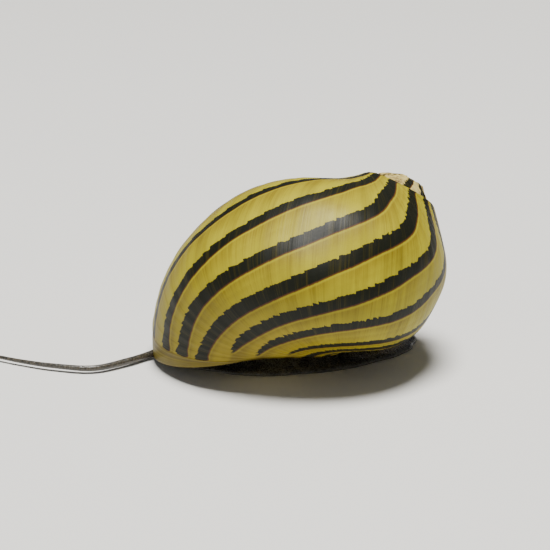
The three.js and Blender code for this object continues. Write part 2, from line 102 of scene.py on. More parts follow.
STRIPE_WIDTH = {  # millimetres; the spire keeps two dark marks
    1: 0.85, 2: 0.92, 3: 1.05, 4: 1.10, 5: 0.95, 6: 0.75, 7: 0.6,
    15: 0.3, 16: 0.2, 17: 0.0, 18: 0.62, 19: 0.0, 20: 0.66, 21: 0.0, 22: 0.0,
}
STRIPE_STARTS = {5: -34, 6: -38, 7: -62}  # where a stripe tapers out before it reaches the resting line
STRIPE_TAPERS = {5: 34, 6: 50, 7: 60}  # degrees over which it tapers
REST_AT = -13.0  # the resting line near the lip, where the stripes end
DARKEST_SHARE, SPIRE_DARKEST_SHARE = 0.54, 0.9  # the most of the pitch that a stripe takes
SPIRE_STRIPES = 15  # the first stripe of the spire
LIP_FLARE, LIP_FLARE_SPREAD = 0.16, 5  # how far stripes widen at the resting line, in millimetres and degrees
STRIPE_CORNER = 0.22  # how round a stripe's corners are at the resting line, in millimetres
WIDE_STRIPE = 0.8  # the least width of a stripe that widens there
WORN_FROM, WORN_TO = 400, 450  # the ages in degrees between which the shell wears to chalk
PITTED_FROM, PITTED_TO = 380, 440
# The worn pits: each wave's direction, pitch and phase
PIT_WAVES = (
    ((0.8, 0.3, 0.5), 5.1, 0.3), ((-0.4, 0.9, 0.2), 6.7, 1.9), ((0.3, -0.5, 0.8), 8.3, 4.1),
    ((0.6, 0.7, -0.4), 11.9, 2.2),
)


def smooth(x, low, high):
    """0 below low, 1 above high, with a soft step between."""
    share = np.clip((x - low) / (high - low), 0.0, 1.0)
    return share * share * (3 - 2 * share)


def turned(angles):
    """Turning matrices about the coiling axis."""
    x, y, z = COIL_AXIS
    cross = np.array([[0, -z, y], [z, 0, -x], [-y, x, 0]])
    angles = np.atleast_1d(angles)[:, None, None]
    return np.eye(3) + np.sin(angles) * cross + (1 - np.cos(angles)) * (cross @ cross)


def growth_scale(theta):
    return np.exp(GROWTH * theta - GROWTH_SLOWING * theta * theta)


def grown(points, theta):
    """Points of the mouth's section, as they were at growth angle theta."""
    arms = np.einsum("nij,nj->ni", turned(-theta), points - TIP)
    return TIP + growth_scale(theta)[:, None] * arms


def rim(phi):
    """The mouth's outline about its centre."""
    lobes = (1 + MOUTH_THREE[0] * np.cos(3 * phi) + MOUTH_THREE[1] * np.sin(3 * phi)
             + MOUTH_FOUR[0] * np.cos(4 * phi) + MOUTH_FOUR[1] * np.sin(4 * phi))
    along = MOUTH_HALF_LENGTH * lobes * np.cos(phi)
    across = MOUTH_HALF_WIDTH * lobes * np.sin(phi) * (1 + MOUTH_EGG * np.cos(phi))
    x = math.cos(MOUTH_TURN) * along - math.sin(MOUTH_TURN) * across
    y = math.sin(MOUTH_TURN) * along + math.cos(MOUTH_TURN) * across
    z = MOUTH_SLOPE[0] * x + MOUTH_SLOPE[1] * y + MOUTH_BOW * (x * x + y * y)
    fullness = 1 + NEAR_FULLNESS * np.exp(-(((phi - NEAR_AT) / NEAR_WIDTH) ** 2))
    return np.stack([x, y, z], -1) * fullness[..., None]


MOUTH_NORMAL = np.array([-MOUTH_SLOPE[0], -MOUTH_SLOPE[1], 1.0])
MOUTH_NORMAL /= np.linalg.norm(MOUTH_NORMAL)
AXIS_FOOT = TIP + COIL_AXIS * (((MOUTH_CENTRE - TIP) @ MOUTH_NORMAL) / (COIL_AXIS @ MOUTH_NORMAL))


def swelling(phi, theta):
    """How far the whorl swells beyond the plain rim, as a share of its reach."""
    return sum(
        share * np.exp(-(((phi - place_at) / spread) ** 2) - ((theta - age) / age_spread) ** 2)
        for share, place_at, spread, age, age_spread in SWELLINGS)


def outer_point(phi, grow=0.0, theta=0.0):
    """A place on the outer wall, pushed out by grow, of growth at angle theta."""
    phi = np.asarray(phi, float)
    arm = rim(phi) * np.asarray(1 + swelling(phi, theta))[..., None]
    return MOUTH_CENTRE + arm * (1 + grow / np.linalg.norm(arm, axis=-1, keepdims=True))


SHOULDER = outer_point(SHOULDER_AT)
AXIS_TOP = TIP + COIL_AXIS * ((SHOULDER - TIP) @ COIL_AXIS)


def off_axis(axis_point, towards, distance):
    arm = towards - axis_point
    arm = arm - COIL_AXIS * (arm @ COIL_AXIS)
    return axis_point + arm * (distance / np.linalg.norm(arm))


def hold_back(phi):
    """How far growth is held back in the arch over the head."""
    return ARCH_TURN * smooth(phi, ARCH_FROM, ARCH_FROM + ARCH_EDGE) * (
        1 - smooth(phi, ARCH_TO - ARCH_EDGE, ARCH_TO))


def whorl_section(steps, grow, theta):
    """The whole whorl's section at the mouth: points, places round it in degrees, and the arch's hold."""
    phi = np.linspace(SHOULDER_AT + ROUND_SHOULDER, BASE_AT, steps)
    outer = outer_point(phi, grow, theta)
    corner = outer_point(SHOULDER_AT, grow, theta)
    high = off_axis(AXIS_TOP + COIL_AXIS * grow, corner, AXIS_CLEAR)
    low = off_axis(AXIS_FOOT - COIL_AXIS * grow, MOUTH_CENTRE, AXIS_CLEAR)
    ledge = corner + (high - corner) * ROUND_SHOULDER
    t = np.linspace(0, 1, 7)[:-1, None]
    rounding = (1 - t) ** 2 * ledge + 2 * t * (1 - t) * corner + t * t * outer[0]
    inner = np.linspace(high, ledge, 9)[:-1]
    base = np.linspace(outer[-1], low, 13)[1:-1]
    places = np.concatenate([
        [300.0], np.linspace(0, 40, 8), np.linspace(40, math.degrees(phi[0]), 7)[:-1],
        np.degrees(phi), np.linspace(math.degrees(BASE_AT), 300, 13)[1:-1],
    ])
    hold = np.concatenate([np.zeros(15), hold_back(phi), np.zeros(len(base))])
    return np.concatenate([[low], inner, rounding, outer, base]), places, hold


def hollow_section(steps, inset, theta):
    """The mouth's hollow: the same outer wall drawn in, and kept off the axis."""
    ends = inset * HOLLOW_ENDS
    phi = np.linspace(SHOULDER_AT + ends, BASE_AT - ends, steps)
    inner = off_axis(AXIS_FOOT, MOUTH_CENTRE, HOLLOW_FROM_AXIS + inset)
    points = np.concatenate([[inner], outer_point(phi, -inset, theta)])
    return points, np.full(len(points), 200.0), np.concatenate([[0.0], hold_back(phi)])


def mesh_from(name, vertices, faces):
    mesh = bpy.data.meshes.new(name)
    mesh.from_pydata(np.asarray(vertices, float).tolist(), [], faces)
    mesh.update()
    return mesh


def mesh_of(name, shape):
    """A mesh from a bmesh, which is freed."""
    mesh = bpy.data.meshes.new(name)
    shape.to_mesh(mesh)
    shape.free()
    return mesh


def ball(name, radius, centre, fineness=5):
    """A round mesh about a centre in millimetres."""
    shape = bmesh.new()
    place_at = Matrix.Translation(Vector(centre) * MM)
    bmesh.ops.create_icosphere(shape, subdivisions=fineness, radius=radius * MM, matrix=place_at)
    return mesh_of(name, shape)


def object_of(name, mesh):
    piece = bpy.data.objects.new(name, mesh)
    bpy.context.scene.collection.objects.link(piece)
    return piece


def plain_mesh(piece, name):
    """Turns a piece with modifiers into one with a plain mesh and none."""
    depsgraph = bpy.context.evaluated_depsgraph_get()
    mesh = bpy.data.meshes.new_from_object(piece.evaluated_get(depsgraph))
    piece.modifiers.clear()
    old = piece.data
    piece.data = mesh
    bpy.data.meshes.remove(old)
    mesh.name = name
    return mesh


def face_outwards(mesh):
    shape = bmesh.new()
    shape.from_mesh(mesh)
    bmesh.ops.recalc_face_normals(shape, faces=shape.faces)
    if shape.calc_volume(signed=True) < 0:
        bmesh.ops.reverse_faces(shape, faces=shape.faces)
    shape.to_mesh(mesh)
    shape.free()


def ring_faces(rings, around):
    """Faces of a closed body through rings of points, its two ends closed by one face each."""
    faces = []
    for i in range(rings - 1):
        for j in range(around):
            k = (j + 1) % around
            faces.append((i * around + j, i * around + k, (i + 1) * around + k, (i + 1) * around + j))
    faces.append(tuple(range(around))[::-1])
    faces.append(tuple((rings - 1) * around + j for j in range(around)))
    return faces


def read_rows(data, field):
    """Three numbers for each corner, as rows."""
    values = np.zeros(len(data) * 3, np.float32)
    data.foreach_get(field, values)
    return values.reshape(-1, 3).astype(float)


def store(mesh, name, values):
    """Stores a number or a vector for each corner."""
    values = np.asarray(values, np.float32)
    kind, field = ("FLOAT", "value") if values.ndim == 1 else ("FLOAT_VECTOR", "vector")
    mesh.attributes.new(name, kind, "POINT").data.foreach_set(field, values.ravel())


# Node helpers

def place(tree, kind, values=None, **settings):
    """Adds a node, sets its properties, and sets or links its inputs."""
    node = tree.nodes.new(kind)
    for name, value in settings.items():
        setattr(node, name, value)
    for socket, value in (values or {}).items():
        if isinstance(value, bpy.types.NodeSocket):
            tree.links.new(value, node.inputs[socket])
        else:
            node.inputs[socket].default_value = value
    return node


def maths(tree, operation, a, b=0.0, c=0.0):
    kind = "ShaderNodeMath"
    return place(tree, kind, {0: a, 1: b, 2: c}, operation=operation).outputs[0]


def times(tree, a, b):
    return maths(tree, "MULTIPLY", a, b)


def plus(tree, a, b):
    return maths(tree, "ADD", a, b)


def minus(tree, a, b):
    return maths(tree, "SUBTRACT", a, b)


def vector_maths(tree, operation, a, b):
    return place(tree, "ShaderNodeVectorMath", {0: a, 1: b}, operation=operation).outputs[0]


def step(tree, value, low, high, start=0.0, end=1.0):
    """A soft step from start to end as value goes from low to high."""
    values = {"Value": value, "From Min": low, "From Max": high, "To Min": start, "To Max": end}
    return place(tree, "ShaderNodeMapRange", values, interpolation_type="SMOOTHSTEP").outputs[0]


def blend(tree, share, a, b, mode="MIX"):
    """Two colours mixed by share."""
    node = place(tree, "ShaderNodeMix", data_type="RGBA", blend_type=mode)
    for index, value in ((0, share), (6, a), (7, b)):
        if isinstance(value, bpy.types.NodeSocket):
            tree.links.new(value, node.inputs[index])
        else:
            node.inputs[index].default_value = value if index == 0 else (*value[:3], 1.0)
    return node.outputs[2]


def noise(tree, vector, scale, detail=2.0, roughness=0.5):
    values = {"Vector": vector, "Scale": scale, "Detail": detail, "Roughness": roughness}
    return place(tree, "ShaderNodeTexNoise", values).outputs["Fac"]


def attribute(tree, name, output="Fac"):
    return place(tree, "ShaderNodeAttribute", attribute_name=name).outputs[output]


def new_material(name, **constants):
    """A material with a Principled shader whose constants are set on its own sockets."""
    material = bpy.data.materials.new(name)
    material.use_nodes = True
    tree = material.node_tree
    shader = tree.nodes["Principled BSDF"]
    for socket, value in constants.items():
        shader.inputs[socket.replace("_", " ")].default_value = value
    return material, tree, shader


def feed(tree, shader, colour=None, roughness=None, height=None, bump=0.3, distance=0.0001):
    """Links a colour, a roughness and a bump height to the shader."""
    if colour is not None:
        tree.links.new(colour, shader.inputs["Base Color"])
    if roughness is not None:
        tree.links.new(roughness, shader.inputs["Roughness"])
    if height is not None:
        values = {"Height": height, "Strength": bump, "Distance": distance}
        relief = place(tree, "ShaderNodeBump", values)
        tree.links.new(relief.outputs["Normal"], shader.inputs["Normal"])


def new_group(name, inputs, outputs, kind="ShaderNodeTree"):
    """An empty group: its tree, its input sockets by name, and its output node."""
    group = bpy.data.node_groups.new(name, kind)
    for socket, holds, default in inputs:
        made = group.interface.new_socket(socket, in_out="INPUT", socket_type="NodeSocket" + holds)
        if default is not None:
            made.default_value = default
    for socket, holds in outputs:
        group.interface.new_socket(socket, in_out="OUTPUT", socket_type="NodeSocket" + holds)
    entry = group.nodes.new("NodeGroupInput")
    return group, {s.name: s for s in entry.outputs}, group.nodes.new("NodeGroupOutput")


def growth_lines_group():
    """Fine lines of growth, as a tone and a height. Line Place counts along the growth, in lines."""
    name = "growth lines"
    if name in bpy.data.node_groups:
        return bpy.data.node_groups[name]
    group, given, result = new_group(
        name,
        [("Place", "Vector", None), ("Fineness", "Float", 1.0)],
        [("Tone", "Float"), ("Height", "Float")],
    )
    fine = noise(group, given["Place"], given["Fineness"], 3.0, 0.65)
    broad = noise(group, given["Place"], times(group, given["Fineness"], 0.23), 2.0)
    tone = plus(group, times(group, fine, 0.6), times(group, broad, 0.4))
    group.links.new(tone, result.inputs["Tone"])
    group.links.new(maths(group, "MULTIPLY_ADD", fine, 0.7, times(group, broad, 0.3)),
                    result.inputs["Height"])
    return group


def wet_grain_group():
    """A fine mottle and grain over flesh or horn, from a place in metres."""
    name = "wet grain"
    if name in bpy.data.node_groups:
        return bpy.data.node_groups[name]
    group, given, result = new_group(
        name,
        [("Place", "Vector", None), ("Size", "Float", 0.0003)],
        [("Mottle", "Float"), ("Grain", "Float")],
    )
    scale = maths(group, "DIVIDE", 1.0, given["Size"])
    blots = noise(group, given["Place"], times(group, scale, 0.35), 3.0, 0.6)
    cells = place(group, "ShaderNodeTexVoronoi", {"Vector": given["Place"], "Scale": scale}).outputs["Distance"]
    group.links.new(step(group, blots, 0.38, 0.68), result.inputs["Mottle"])
    group.links.new(step(group, cells, 0.05, 0.75, 1.0, 0.0), result.inputs["Grain"])
    return group


def use_group(tree, group, values):
    node = tree.nodes.new("ShaderNodeGroup")
    node.node_tree = group
    for socket, value in values.items():
        if isinstance(value, bpy.types.NodeSocket):
            tree.links.new(value, node.inputs[socket])
        else:
            node.inputs[socket].default_value = value
    return node.outputs


# Settings that a user would change

def colour_setting(name, description, default):
    return FloatVectorProperty(
        name=name, description=description, default=default, size=3, min=0, max=1, subtype="COLOR")


class ShellSettings(bpy.types.PropertyGroup):
    growth: FloatProperty(
        name="Growth", description="Natural logarithm of the shell's widening in one turn",
        default=GROWTH * TURN, min=0.2, max=3)
    slowing: FloatProperty(
        name="Slowing", description="How much the widening slows with age", default=GROWTH_SLOWING, min=0, max=0.01,
        precision=5)
    whorls: FloatProperty(
        name="Whorls", description="Turns of growth that are built", default=2.0, min=1, max=4)
    ring_spacing: FloatProperty(
        name="Ring spacing", description="Distance between rings of growth at the lip",
        default=0.00017, min=0.00005, max=0.002, unit="LENGTH", precision=5)
    steps: IntProperty(name="Steps", description="Steps round the outer wall", default=210, min=24, max=600)
    ground: colour_setting("Ground", "Olive yellow between the stripes", (0.27, 0.205, 0.008))
    light: colour_setting("Light", "The brightest yellow, above a stripe", (0.37, 0.325, 0.014))
    # Brown is also what the lower shell darkens towards: partly its own tone, partly painted shade
    brown: colour_setting("Brown", "Browner ground below a stripe", (0.125, 0.086, 0.008))
    stripe: colour_setting("Stripe", "Greenish black of the stripes", (0.006, 0.007, 0.003))
    fringe: colour_setting("Fringe", "Red-brown line under a stripe", (0.085, 0.030, 0.008))
    worn: colour_setting("Worn", "Chalky cream of the worn spire", (0.52, 0.42, 0.14))
    inside: colour_setting("Inside", "Porcelain inside the lip", (0.50, 0.42, 0.18))


class FleshSettings(bpy.types.PropertyGroup):
    spacing: FloatProperty(
        name="Skin spacing", description="Distance between the skin's corners",
        default=0.000125, min=0.00005, max=0.001, unit="LENGTH", precision=6)
    dark: colour_setting("Dark", "Dark grey of the flesh", (0.020, 0.020, 0.017))
    pale: colour_setting("Pale", "Pale flecks of the flesh", (0.085, 0.080, 0.062))
    sole: colour_setting("Sole", "Paler grey of the sole", (0.16, 0.15, 0.115))
    feeler: colour_setting("Feeler", "Grey brown of the feelers", (0.070, 0.058, 0.040))
    horn: colour_setting("Horn", "Pinkish brown of the lid", (0.42, 0.26, 0.17))


class StageSettings(bpy.types.PropertyGroup):
    azimuth: FloatProperty(
        name="Azimuth", description="Where the camera stands round the snail", default=math.radians(-10),
        subtype="ANGLE")
    elevation: FloatProperty(
        name="Elevation", description="How high the camera looks down", default=math.radians(20), subtype="ANGLE")
    lens: FloatProperty(name="Lens", description="Focal length in millimetres", default=350, min=20, max=1000)
    view_width: FloatProperty(
        name="View width", description="Width of the picture at the snail", default=0.04125, min=0.01, max=1,
        unit="LENGTH")
    aim: FloatVectorProperty(
        name="Aim", description="What the picture's middle shows", default=(-0.00185, -0.00147, 0.00647),
        size=3, subtype="TRANSLATION")
    floor: colour_setting("Floor", "Pale floor", (0.78, 0.775, 0.745))


# The shell

def winding_tree():
    """Winds sections of the mouth round the coiling axis: each point turns back and shrinks by its growth angle."""
    name = "wind the whorl"
    if name in bpy.data.node_groups:
        return bpy.data.node_groups[name]
    tree, given, result = new_group(
        name,
        [("Geometry", "Geometry", None), ("Growth", "Float", GROWTH * TURN), ("Slowing", "Float", GROWTH_SLOWING),
         ("Tip", "Vector", (0, 0, 0)), ("Axis", "Vector", (0, 0, 1)), ("Material", "Material", None)],
        [("Geometry", "Geometry")], "GeometryNodeTree")
    theta = place(tree, "GeometryNodeInputNamedAttribute", {"Name": "theta"}, data_type="FLOAT").outputs[0]
    position = place(tree, "GeometryNodeInputPosition").outputs[0]
    linear = times(tree, maths(tree, "DIVIDE", given["Growth"], TURN), theta)
    slowed = times(tree, given["Slowing"], times(tree, theta, theta))
    scale = maths(tree, "EXPONENT", minus(tree, linear, slowed))
    arm = vector_maths(tree, "SUBTRACT", position, given["Tip"])
    turn = place(tree, "ShaderNodeVectorRotate", {
        "Vector": arm, "Axis": given["Axis"], "Angle": times(tree, theta, -1.0)},
        rotation_type="AXIS_ANGLE").outputs[0]
    scaled = place(tree, "ShaderNodeVectorMath", {0: turn, "Scale": scale}, operation="SCALE").outputs[0]
    moved = place(tree, "GeometryNodeSetPosition", {
        "Geometry": given["Geometry"], "Position": vector_maths(tree, "ADD", scaled, given["Tip"])})
    real = place(tree, "GeometryNodeRealizeInstances", {"Geometry": moved.outputs[0]})
    painted = place(tree, "GeometryNodeSetMaterial", {
        "Geometry": real.outputs[0], "Material": given["Material"]})
    tree.links.new(painted.outputs[0], result.inputs[0])
    return tree


def set_tree_inputs(modifier, values):
    """Sets a Geometry Nodes modifier's inputs by the sockets' identifiers."""
    for item in modifier.node_group.interface.items_tree:
        if item.item_type == "SOCKET" and item.in_out == "INPUT" and item.name in values:
            modifier[item.identifier] = values[item.name]


def wound(name, section_at, start, end, rings, inside, settings, material):
    """A length of whorl from growth angle start to end. section_at gives the section for each ring."""
    thetas = np.linspace(start, end, rings)
    points, marks, angles = [], [], []
    for theta in thetas:
        section, places, hold = section_at(theta)
        points.append(section)
        angles.append(theta - hold * math.exp(-((theta / ARCH_FADE) ** 2)))
        marks.append(np.stack([np.full(len(section), theta), places, np.full(len(section), inside)], 1))
    mesh = mesh_from(name, np.concatenate(points) * MM, ring_faces(rings, len(points[0])))
    store(mesh, "theta", np.concatenate(angles))
    store(mesh, "growth", np.concatenate(marks))
    piece = object_of(name, mesh)
    modifier = piece.modifiers.new("wind", "NODES")
    modifier.node_group = winding_tree()
    set_tree_inputs(modifier, {
        "Growth": settings.growth, "Slowing": settings.slowing, "Tip": (TIP * MM).tolist(),
        "Axis": COIL_AXIS.tolist(), "Material": material,
    })
    plain_mesh(piece, name)
    face_outwards(piece.data)
    return piece


def whorl_grow(theta):
    """How far the wall stands out at a growth angle: a thin lip, a step at the resting line, faint older rests."""
    degrees = np.degrees(theta)
    lip = -0.16 * np.exp(-((degrees / 0.7) ** 2))
    rest = 0.045 * (smooth(degrees, REST_AT - 0.4, REST_AT + 0.1) - smooth(degrees, REST_AT + 0.1, REST_AT + 6))
    older = 0.018 * np.sin(degrees * 0.61 + 1.3) * np.sin(degrees * 0.173)
    return lip + rest + older * smooth(-degrees, 1, 12)


def whorl_length(index, start, end, settings, material):
    rings = max(24, int((start - end) * 13.0 * growth_scale(np.array(start)) / (settings.ring_spacing / MM)))

    def section_at(theta):
        return whorl_section(settings.steps, whorl_grow(theta), theta)
    return wound(f"whorl_{index}", section_at, start, end, rings, 0.0, settings, material)


def combine(base, others, operation):
    for other in others:
        modifier = base.modifiers.new(operation, "BOOLEAN")
        modifier.operation = operation
        modifier.solver = "MANIFOLD"
        modifier.object = other
    plain_mesh(base, base.name)
    for other in others:
        mesh = other.data
        bpy.data.objects.remove(other)
        bpy.data.meshes.remove(mesh)
    return base


def core_and_tip():
    """The solid core along the axis and the blunt tip."""
    length = np.linalg.norm(AXIS_FOOT - TIP) * CORE_REACH
    shape = bmesh.new()
    turn = Vector((0, 0, 1)).rotation_difference(Vector(COIL_AXIS)).to_matrix().to_4x4()
    middle = Matrix.Translation(Vector((AXIS_FOOT + COIL_AXIS * length / 2) * MM)) @ turn
    bmesh.ops.create_cone(
        shape, cap_ends=True, segments=CORE_SIDES, radius1=CORE_RADIUS * MM,
        radius2=CORE_RADIUS * (1 - CORE_REACH) * MM, depth=length * MM, matrix=middle)
    core = mesh_of("core", shape)
    tip = ball("tip", TIP_RADIUS, TIP - COIL_AXIS * TIP_DEPTH)
    for mesh, growth in ((core, CORE_GROWTH), (tip, TIP_GROWTH)):
        store(mesh, "growth", np.tile(growth, (len(mesh.vertices), 1)))
    return object_of("core", core), object_of("tip", tip)


def smooth_line(places, values, at):
    """The values at these places on a smooth curve through them."""
    slopes = np.gradient(np.asarray(values, float), np.asarray(places, float))
    index = np.clip(np.searchsorted(places, at) - 1, 0, len(places) - 2)
    x0, x1 = np.take(places, index), np.take(places, index + 1)
    y0, y1 = np.take(values, index), np.take(values, index + 1)
    t = np.clip((at - x0) / (x1 - x0), 0, 1)
    h = x1 - x0
    return ((1 + 2 * t) * (1 - t) ** 2 * y0 + t * (1 - t) ** 2 * h * slopes[index]
            + t * t * (3 - 2 * t) * y1 + t * t * (t - 1) * h * slopes[index + 1])


def paint_stripes(mesh):
    """Stores, for each corner, the distance into its nearest stripe, how near its upper edge it is, and its wear."""
    growth = read_rows(mesh.attributes["growth"].data, "vector")
    degrees, places = np.degrees(growth[:, 0]), growth[:, 1]
    draw = np.random.default_rng(7)
    stripes = np.arange(FIRST_STRIPE, LAST_STRIPE)
    drift_table = [STRIPE_DRIFT.get(k, tuple(draw.normal(0, 2.0, len(DRIFT_PLACES)))) for k in stripes]
    widths = np.array([STRIPE_WIDTH.get(k, draw.uniform(0.75, 1.1)) for k in stripes])
    most = np.where(stripes < SPIRE_STRIPES, DARKEST_SHARE, SPIRE_DARKEST_SHARE) / 2

    def lines_at(at):
        rule = smooth_line(STRIPE_PLACES, STRIPE_RULE, at)
        return np.stack([rule - STRIPE_PITCH * (k - RULE_STRIPE) + smooth_line(DRIFT_PLACES, drift, at)
                         for k, drift in zip(stripes, drift_table)])

    centre = lines_at(places)
    # Millimetres over the surface for a degree of growth and for a degree round the whorl
    inside = np.clip(places, 40, 268)
    theta = np.radians(degrees)
    older = theta - math.radians(1)
    here = grown(outer_point(np.radians(inside), 0, theta), theta)
    along = grown(outer_point(np.radians(inside), 0, older), older) - here
    round_it = grown(outer_point(np.radians(inside + 1), 0, theta), theta) - here
    slope = (lines_at(places + 1) - centre)
    a2 = np.sum(along * along, 1)
    b2 = np.sum(round_it * round_it, 1)
    ab = -np.sum(along * round_it, 1)
    off = degrees - centre
    # The surface gradient of (growth - line), from the metric of the two directions
    area = np.maximum(a2 * b2 - ab * ab, 1e-12)
    steep = np.sqrt(np.maximum((b2 + 2 * slope * ab + slope * slope * a2) / area, 1e-12))
    distance = off / steep
    pitch = STRIPE_PITCH / steep
    half = np.minimum(widths[:, None] / 2, pitch * most[:, None])
    half = half + LIP_FLARE * np.exp(-((degrees - REST_AT) / LIP_FLARE_SPREAD) ** 2) * (widths[:, None] > WIDE_STRIPE)
    for stripe, start in STRIPE_STARTS.items():
        row = stripe - FIRST_STRIPE
        taper = np.clip((start - degrees) / STRIPE_TAPERS[stripe], -1, 1)
        half[row] = half[row] * np.sign(taper) * np.abs(taper) ** 0.6
    half = np.where(widths[:, None] > 0, half, -0.2)
    best = np.argmin(np.abs(distance) - half, axis=0)
    pick = np.arange(len(degrees))
    signed = distance[best, pick]
    half = half[best, pick]
    into = half - np.abs(signed)
    # Stripes end at the resting line, with their corners rounded off
    to_rest = (REST_AT - degrees) * np.sqrt(a2)
    both = np.minimum(into, to_rest)
    bend = STRIPE_CORNER - np.hypot(np.minimum(into - STRIPE_CORNER, 0), np.minimum(to_rest - STRIPE_CORNER, 0))
    at_corner = (into < STRIPE_CORNER) & (to_rest < STRIPE_CORNER) & (both > -STRIPE_CORNER)
    into = np.where(at_corner, bend, both)
    gap = np.maximum(pitch[best, pick] - 2 * half, 0.05)
    # 1 at a stripe's upper, older edge, 0 at its lower edge, and from 1 to 0 across the gap above it
    in_stripe = 0.5 + signed / np.maximum(2 * half, 0.05)
    share = (np.abs(signed) - half) / gap
    upper = np.where(np.abs(signed) < half, in_stripe, np.where(signed > 0, 1 - share, share))
    store(mesh, "into_stripe", into)
    store(mesh, "upper_edge", np.clip(upper, 0, 1))
    store(mesh, "worn", smooth(-degrees, WORN_FROM, WORN_TO))
    store(mesh, "rest", smooth(degrees, REST_AT - 0.5, REST_AT + 0.5))


def shell_material(settings):
    material, tree, shader = new_material("shell", Specular_IOR_Level=0.2)
    growth = attribute(tree, "growth", "Vector")
    split = place(tree, "ShaderNodeSeparateXYZ", {0: growth}).outputs
    theta, around, inner = split[0], split[1], split[2]
    into, upper = attribute(tree, "into_stripe"), attribute(tree, "upper_edge")
    worn, rest = attribute(tree, "worn"), attribute(tree, "rest")
    here = place(tree, "ShaderNodeTexCoord").outputs["Object"]

    def along(lines, across):
        values = {0: times(tree, theta, lines), 1: times(tree, around, across), 2: 0.0}
        return place(tree, "ShaderNodeCombineXYZ", values).outputs[0]
    lines = use_group(tree, growth_lines_group(), {"Place": along(62.0, 0.02), "Fineness": 1.0})
    bands = noise(tree, along(7.0, 0.012), 1.0, 2.0)
    blots = noise(tree, here, 420.0, 3.0, 0.6)
    specks = noise(tree, here, 2600.0, 2.0, 0.6)
    # The stripes' ragged upper edges: slanted steps that follow the growth lines, with small nicks
    uneven = times(tree, noise(tree, along(4.0, 0.02), 1.0, 1.0), 3.0)
    saw = maths(tree, "FRACT", maths(tree, "MULTIPLY_ADD", theta, 7.7, uneven))
    depths = step(tree, noise(tree, along(9.0, 0.05), 1.0, 1.0), 0.3, 0.7, 0.07, 0.26)
    teeth = times(tree, minus(tree, saw, 0.5), depths)
    nicks = minus(tree, noise(tree, along(46.0, 0.03), 1.0, 2.0, 0.6), 0.5)
    ragged = maths(tree, "MULTIPLY_ADD", nicks, 0.22, teeth)
    near_upper = step(tree, upper, 0.35, 0.75)
    depth = maths(tree, "MULTIPLY_ADD", ragged, maths(tree, "MULTIPLY_ADD", near_upper, 0.88, 0.12), into)
    dark = step(tree, depth, -0.03, 0.03)
    near_lower = minus(tree, 1.0, step(tree, upper, 0.05, 0.35))
    # Ground: brown below a stripe, yellow above the next, lit by bands and lines of growth. Towards the base it
    # browns and loses its yellow: partly the shell's own browner base, partly painted shade.
    gap_tone = plus(tree, upper, times(tree, minus(tree, blots, 0.5), 0.7))
    # painted shade, on top of the shell's own browner base: the lower shell darkens to brown and its yellow dulls
    # towards the base
    lower_brown_and_shade = step(tree, around, 165.0, 250.0)
    brown = blend(tree, maths(tree, "MULTIPLY_ADD", lower_brown_and_shade, 0.65, 0.25), settings.ground, settings.brown)
    light = blend(tree, lower_brown_and_shade, settings.light, settings.ground)
    ground = blend(tree, step(tree, gap_tone, 0.0, 0.95), brown, light)
    ground = blend(tree, step(tree, bands, 0.35, 0.75, 0.0, 0.35), ground, settings.brown)
    ground = blend(tree, step(tree, lines["Tone"], 0.40, 0.66, 0.0, 0.35), ground, light)
    ground = blend(tree, step(tree, lines["Tone"], 0.52, 0.30, 0.0, 0.45), ground, settings.brown)
    pale_line = times(tree, step(tree, depth, -0.24, -0.10), step(tree, depth, -0.01, -0.06))
    ground = blend(tree, times(tree, times(tree, pale_line, near_lower), 0.6), ground, light)
    plain = blend(tree, step(tree, lines["Tone"], 0.35, 0.65), settings.brown, settings.ground)
    plain = blend(tree, 0.3, plain, settings.stripe)
    ground = blend(tree, times(tree, rest, 0.85), ground, plain)
    # Stripes: near black, with the growth lines showing through, and a red-brown line along the lower edge
    black = blend(tree, step(tree, lines["Tone"], 0.48, 0.74, 0.0, 0.14), settings.stripe, settings.ground)
    fringe = times(tree, near_lower, minus(tree, 1.0, step(tree, depth, 0.03, 0.14)))
    black = blend(tree, fringe, black, settings.fringe)
    colour = blend(tree, dark, ground, black)
    # The dark thread along the resting line and along the lip's edge
    rest_line = times(tree, step(tree, rest, 0.05, 0.5), step(tree, rest, 0.95, 0.5))
    colour = blend(tree, times(tree, rest_line, 0.35), colour, settings.fringe)
    lip = step(tree, theta, -0.022, -0.004)
    colour = blend(tree, times(tree, lip, 0.7), colour, settings.stripe)
    # The worn spire: chalk with stained hollows
    patches = plus(tree, worn, times(tree, minus(tree, blots, 0.5), 0.9))
    stain = blend(tree, step(tree, blots, 0.42, 0.60), settings.fringe, settings.worn)
    chalk = blend(tree, step(tree, specks, 0.40, 0.65), stain, settings.worn)
    is_worn = times(tree, step(tree, patches, 0.35, 0.65), step(tree, worn, 0.0, 0.2))
    kept = times(tree, dark, step(tree, theta, -7.5, -7.8))
    is_worn = times(tree, is_worn, minus(tree, 1.0, kept))
    colour = blend(tree, is_worn, colour, chalk)
    # Inside the mouth and on the base's glaze: smooth porcelain
    glaze = maths(tree, "MAXIMUM", step(tree, inner, 0.3, 0.7), step(tree, around, 267.0, 276.0))
    porcelain = blend(tree, step(tree, blots, 0.35, 0.7), settings.inside, settings.worn)
    colour = blend(tree, glaze, colour, porcelain)
    rough = step(tree, lines["Tone"], 0.3, 0.7, 0.50, 0.42)
    rough = plus(tree, rough, times(tree, is_worn, 0.25))
    rough = minus(tree, rough, times(tree, glaze, 0.12))
    relief = plus(tree, lines["Height"], times(tree, specks, 0.35))
    relief = times(tree, relief, minus(tree, 1.0, times(tree, glaze, 0.85)))
    relief = plus(tree, relief, times(tree, dark, 0.15))
    relief = plus(tree, relief, times(tree, times(tree, blots, is_worn), 3.0))
    feed(tree, shader, colour, rough, relief, 0.35, 0.00006)
    return material


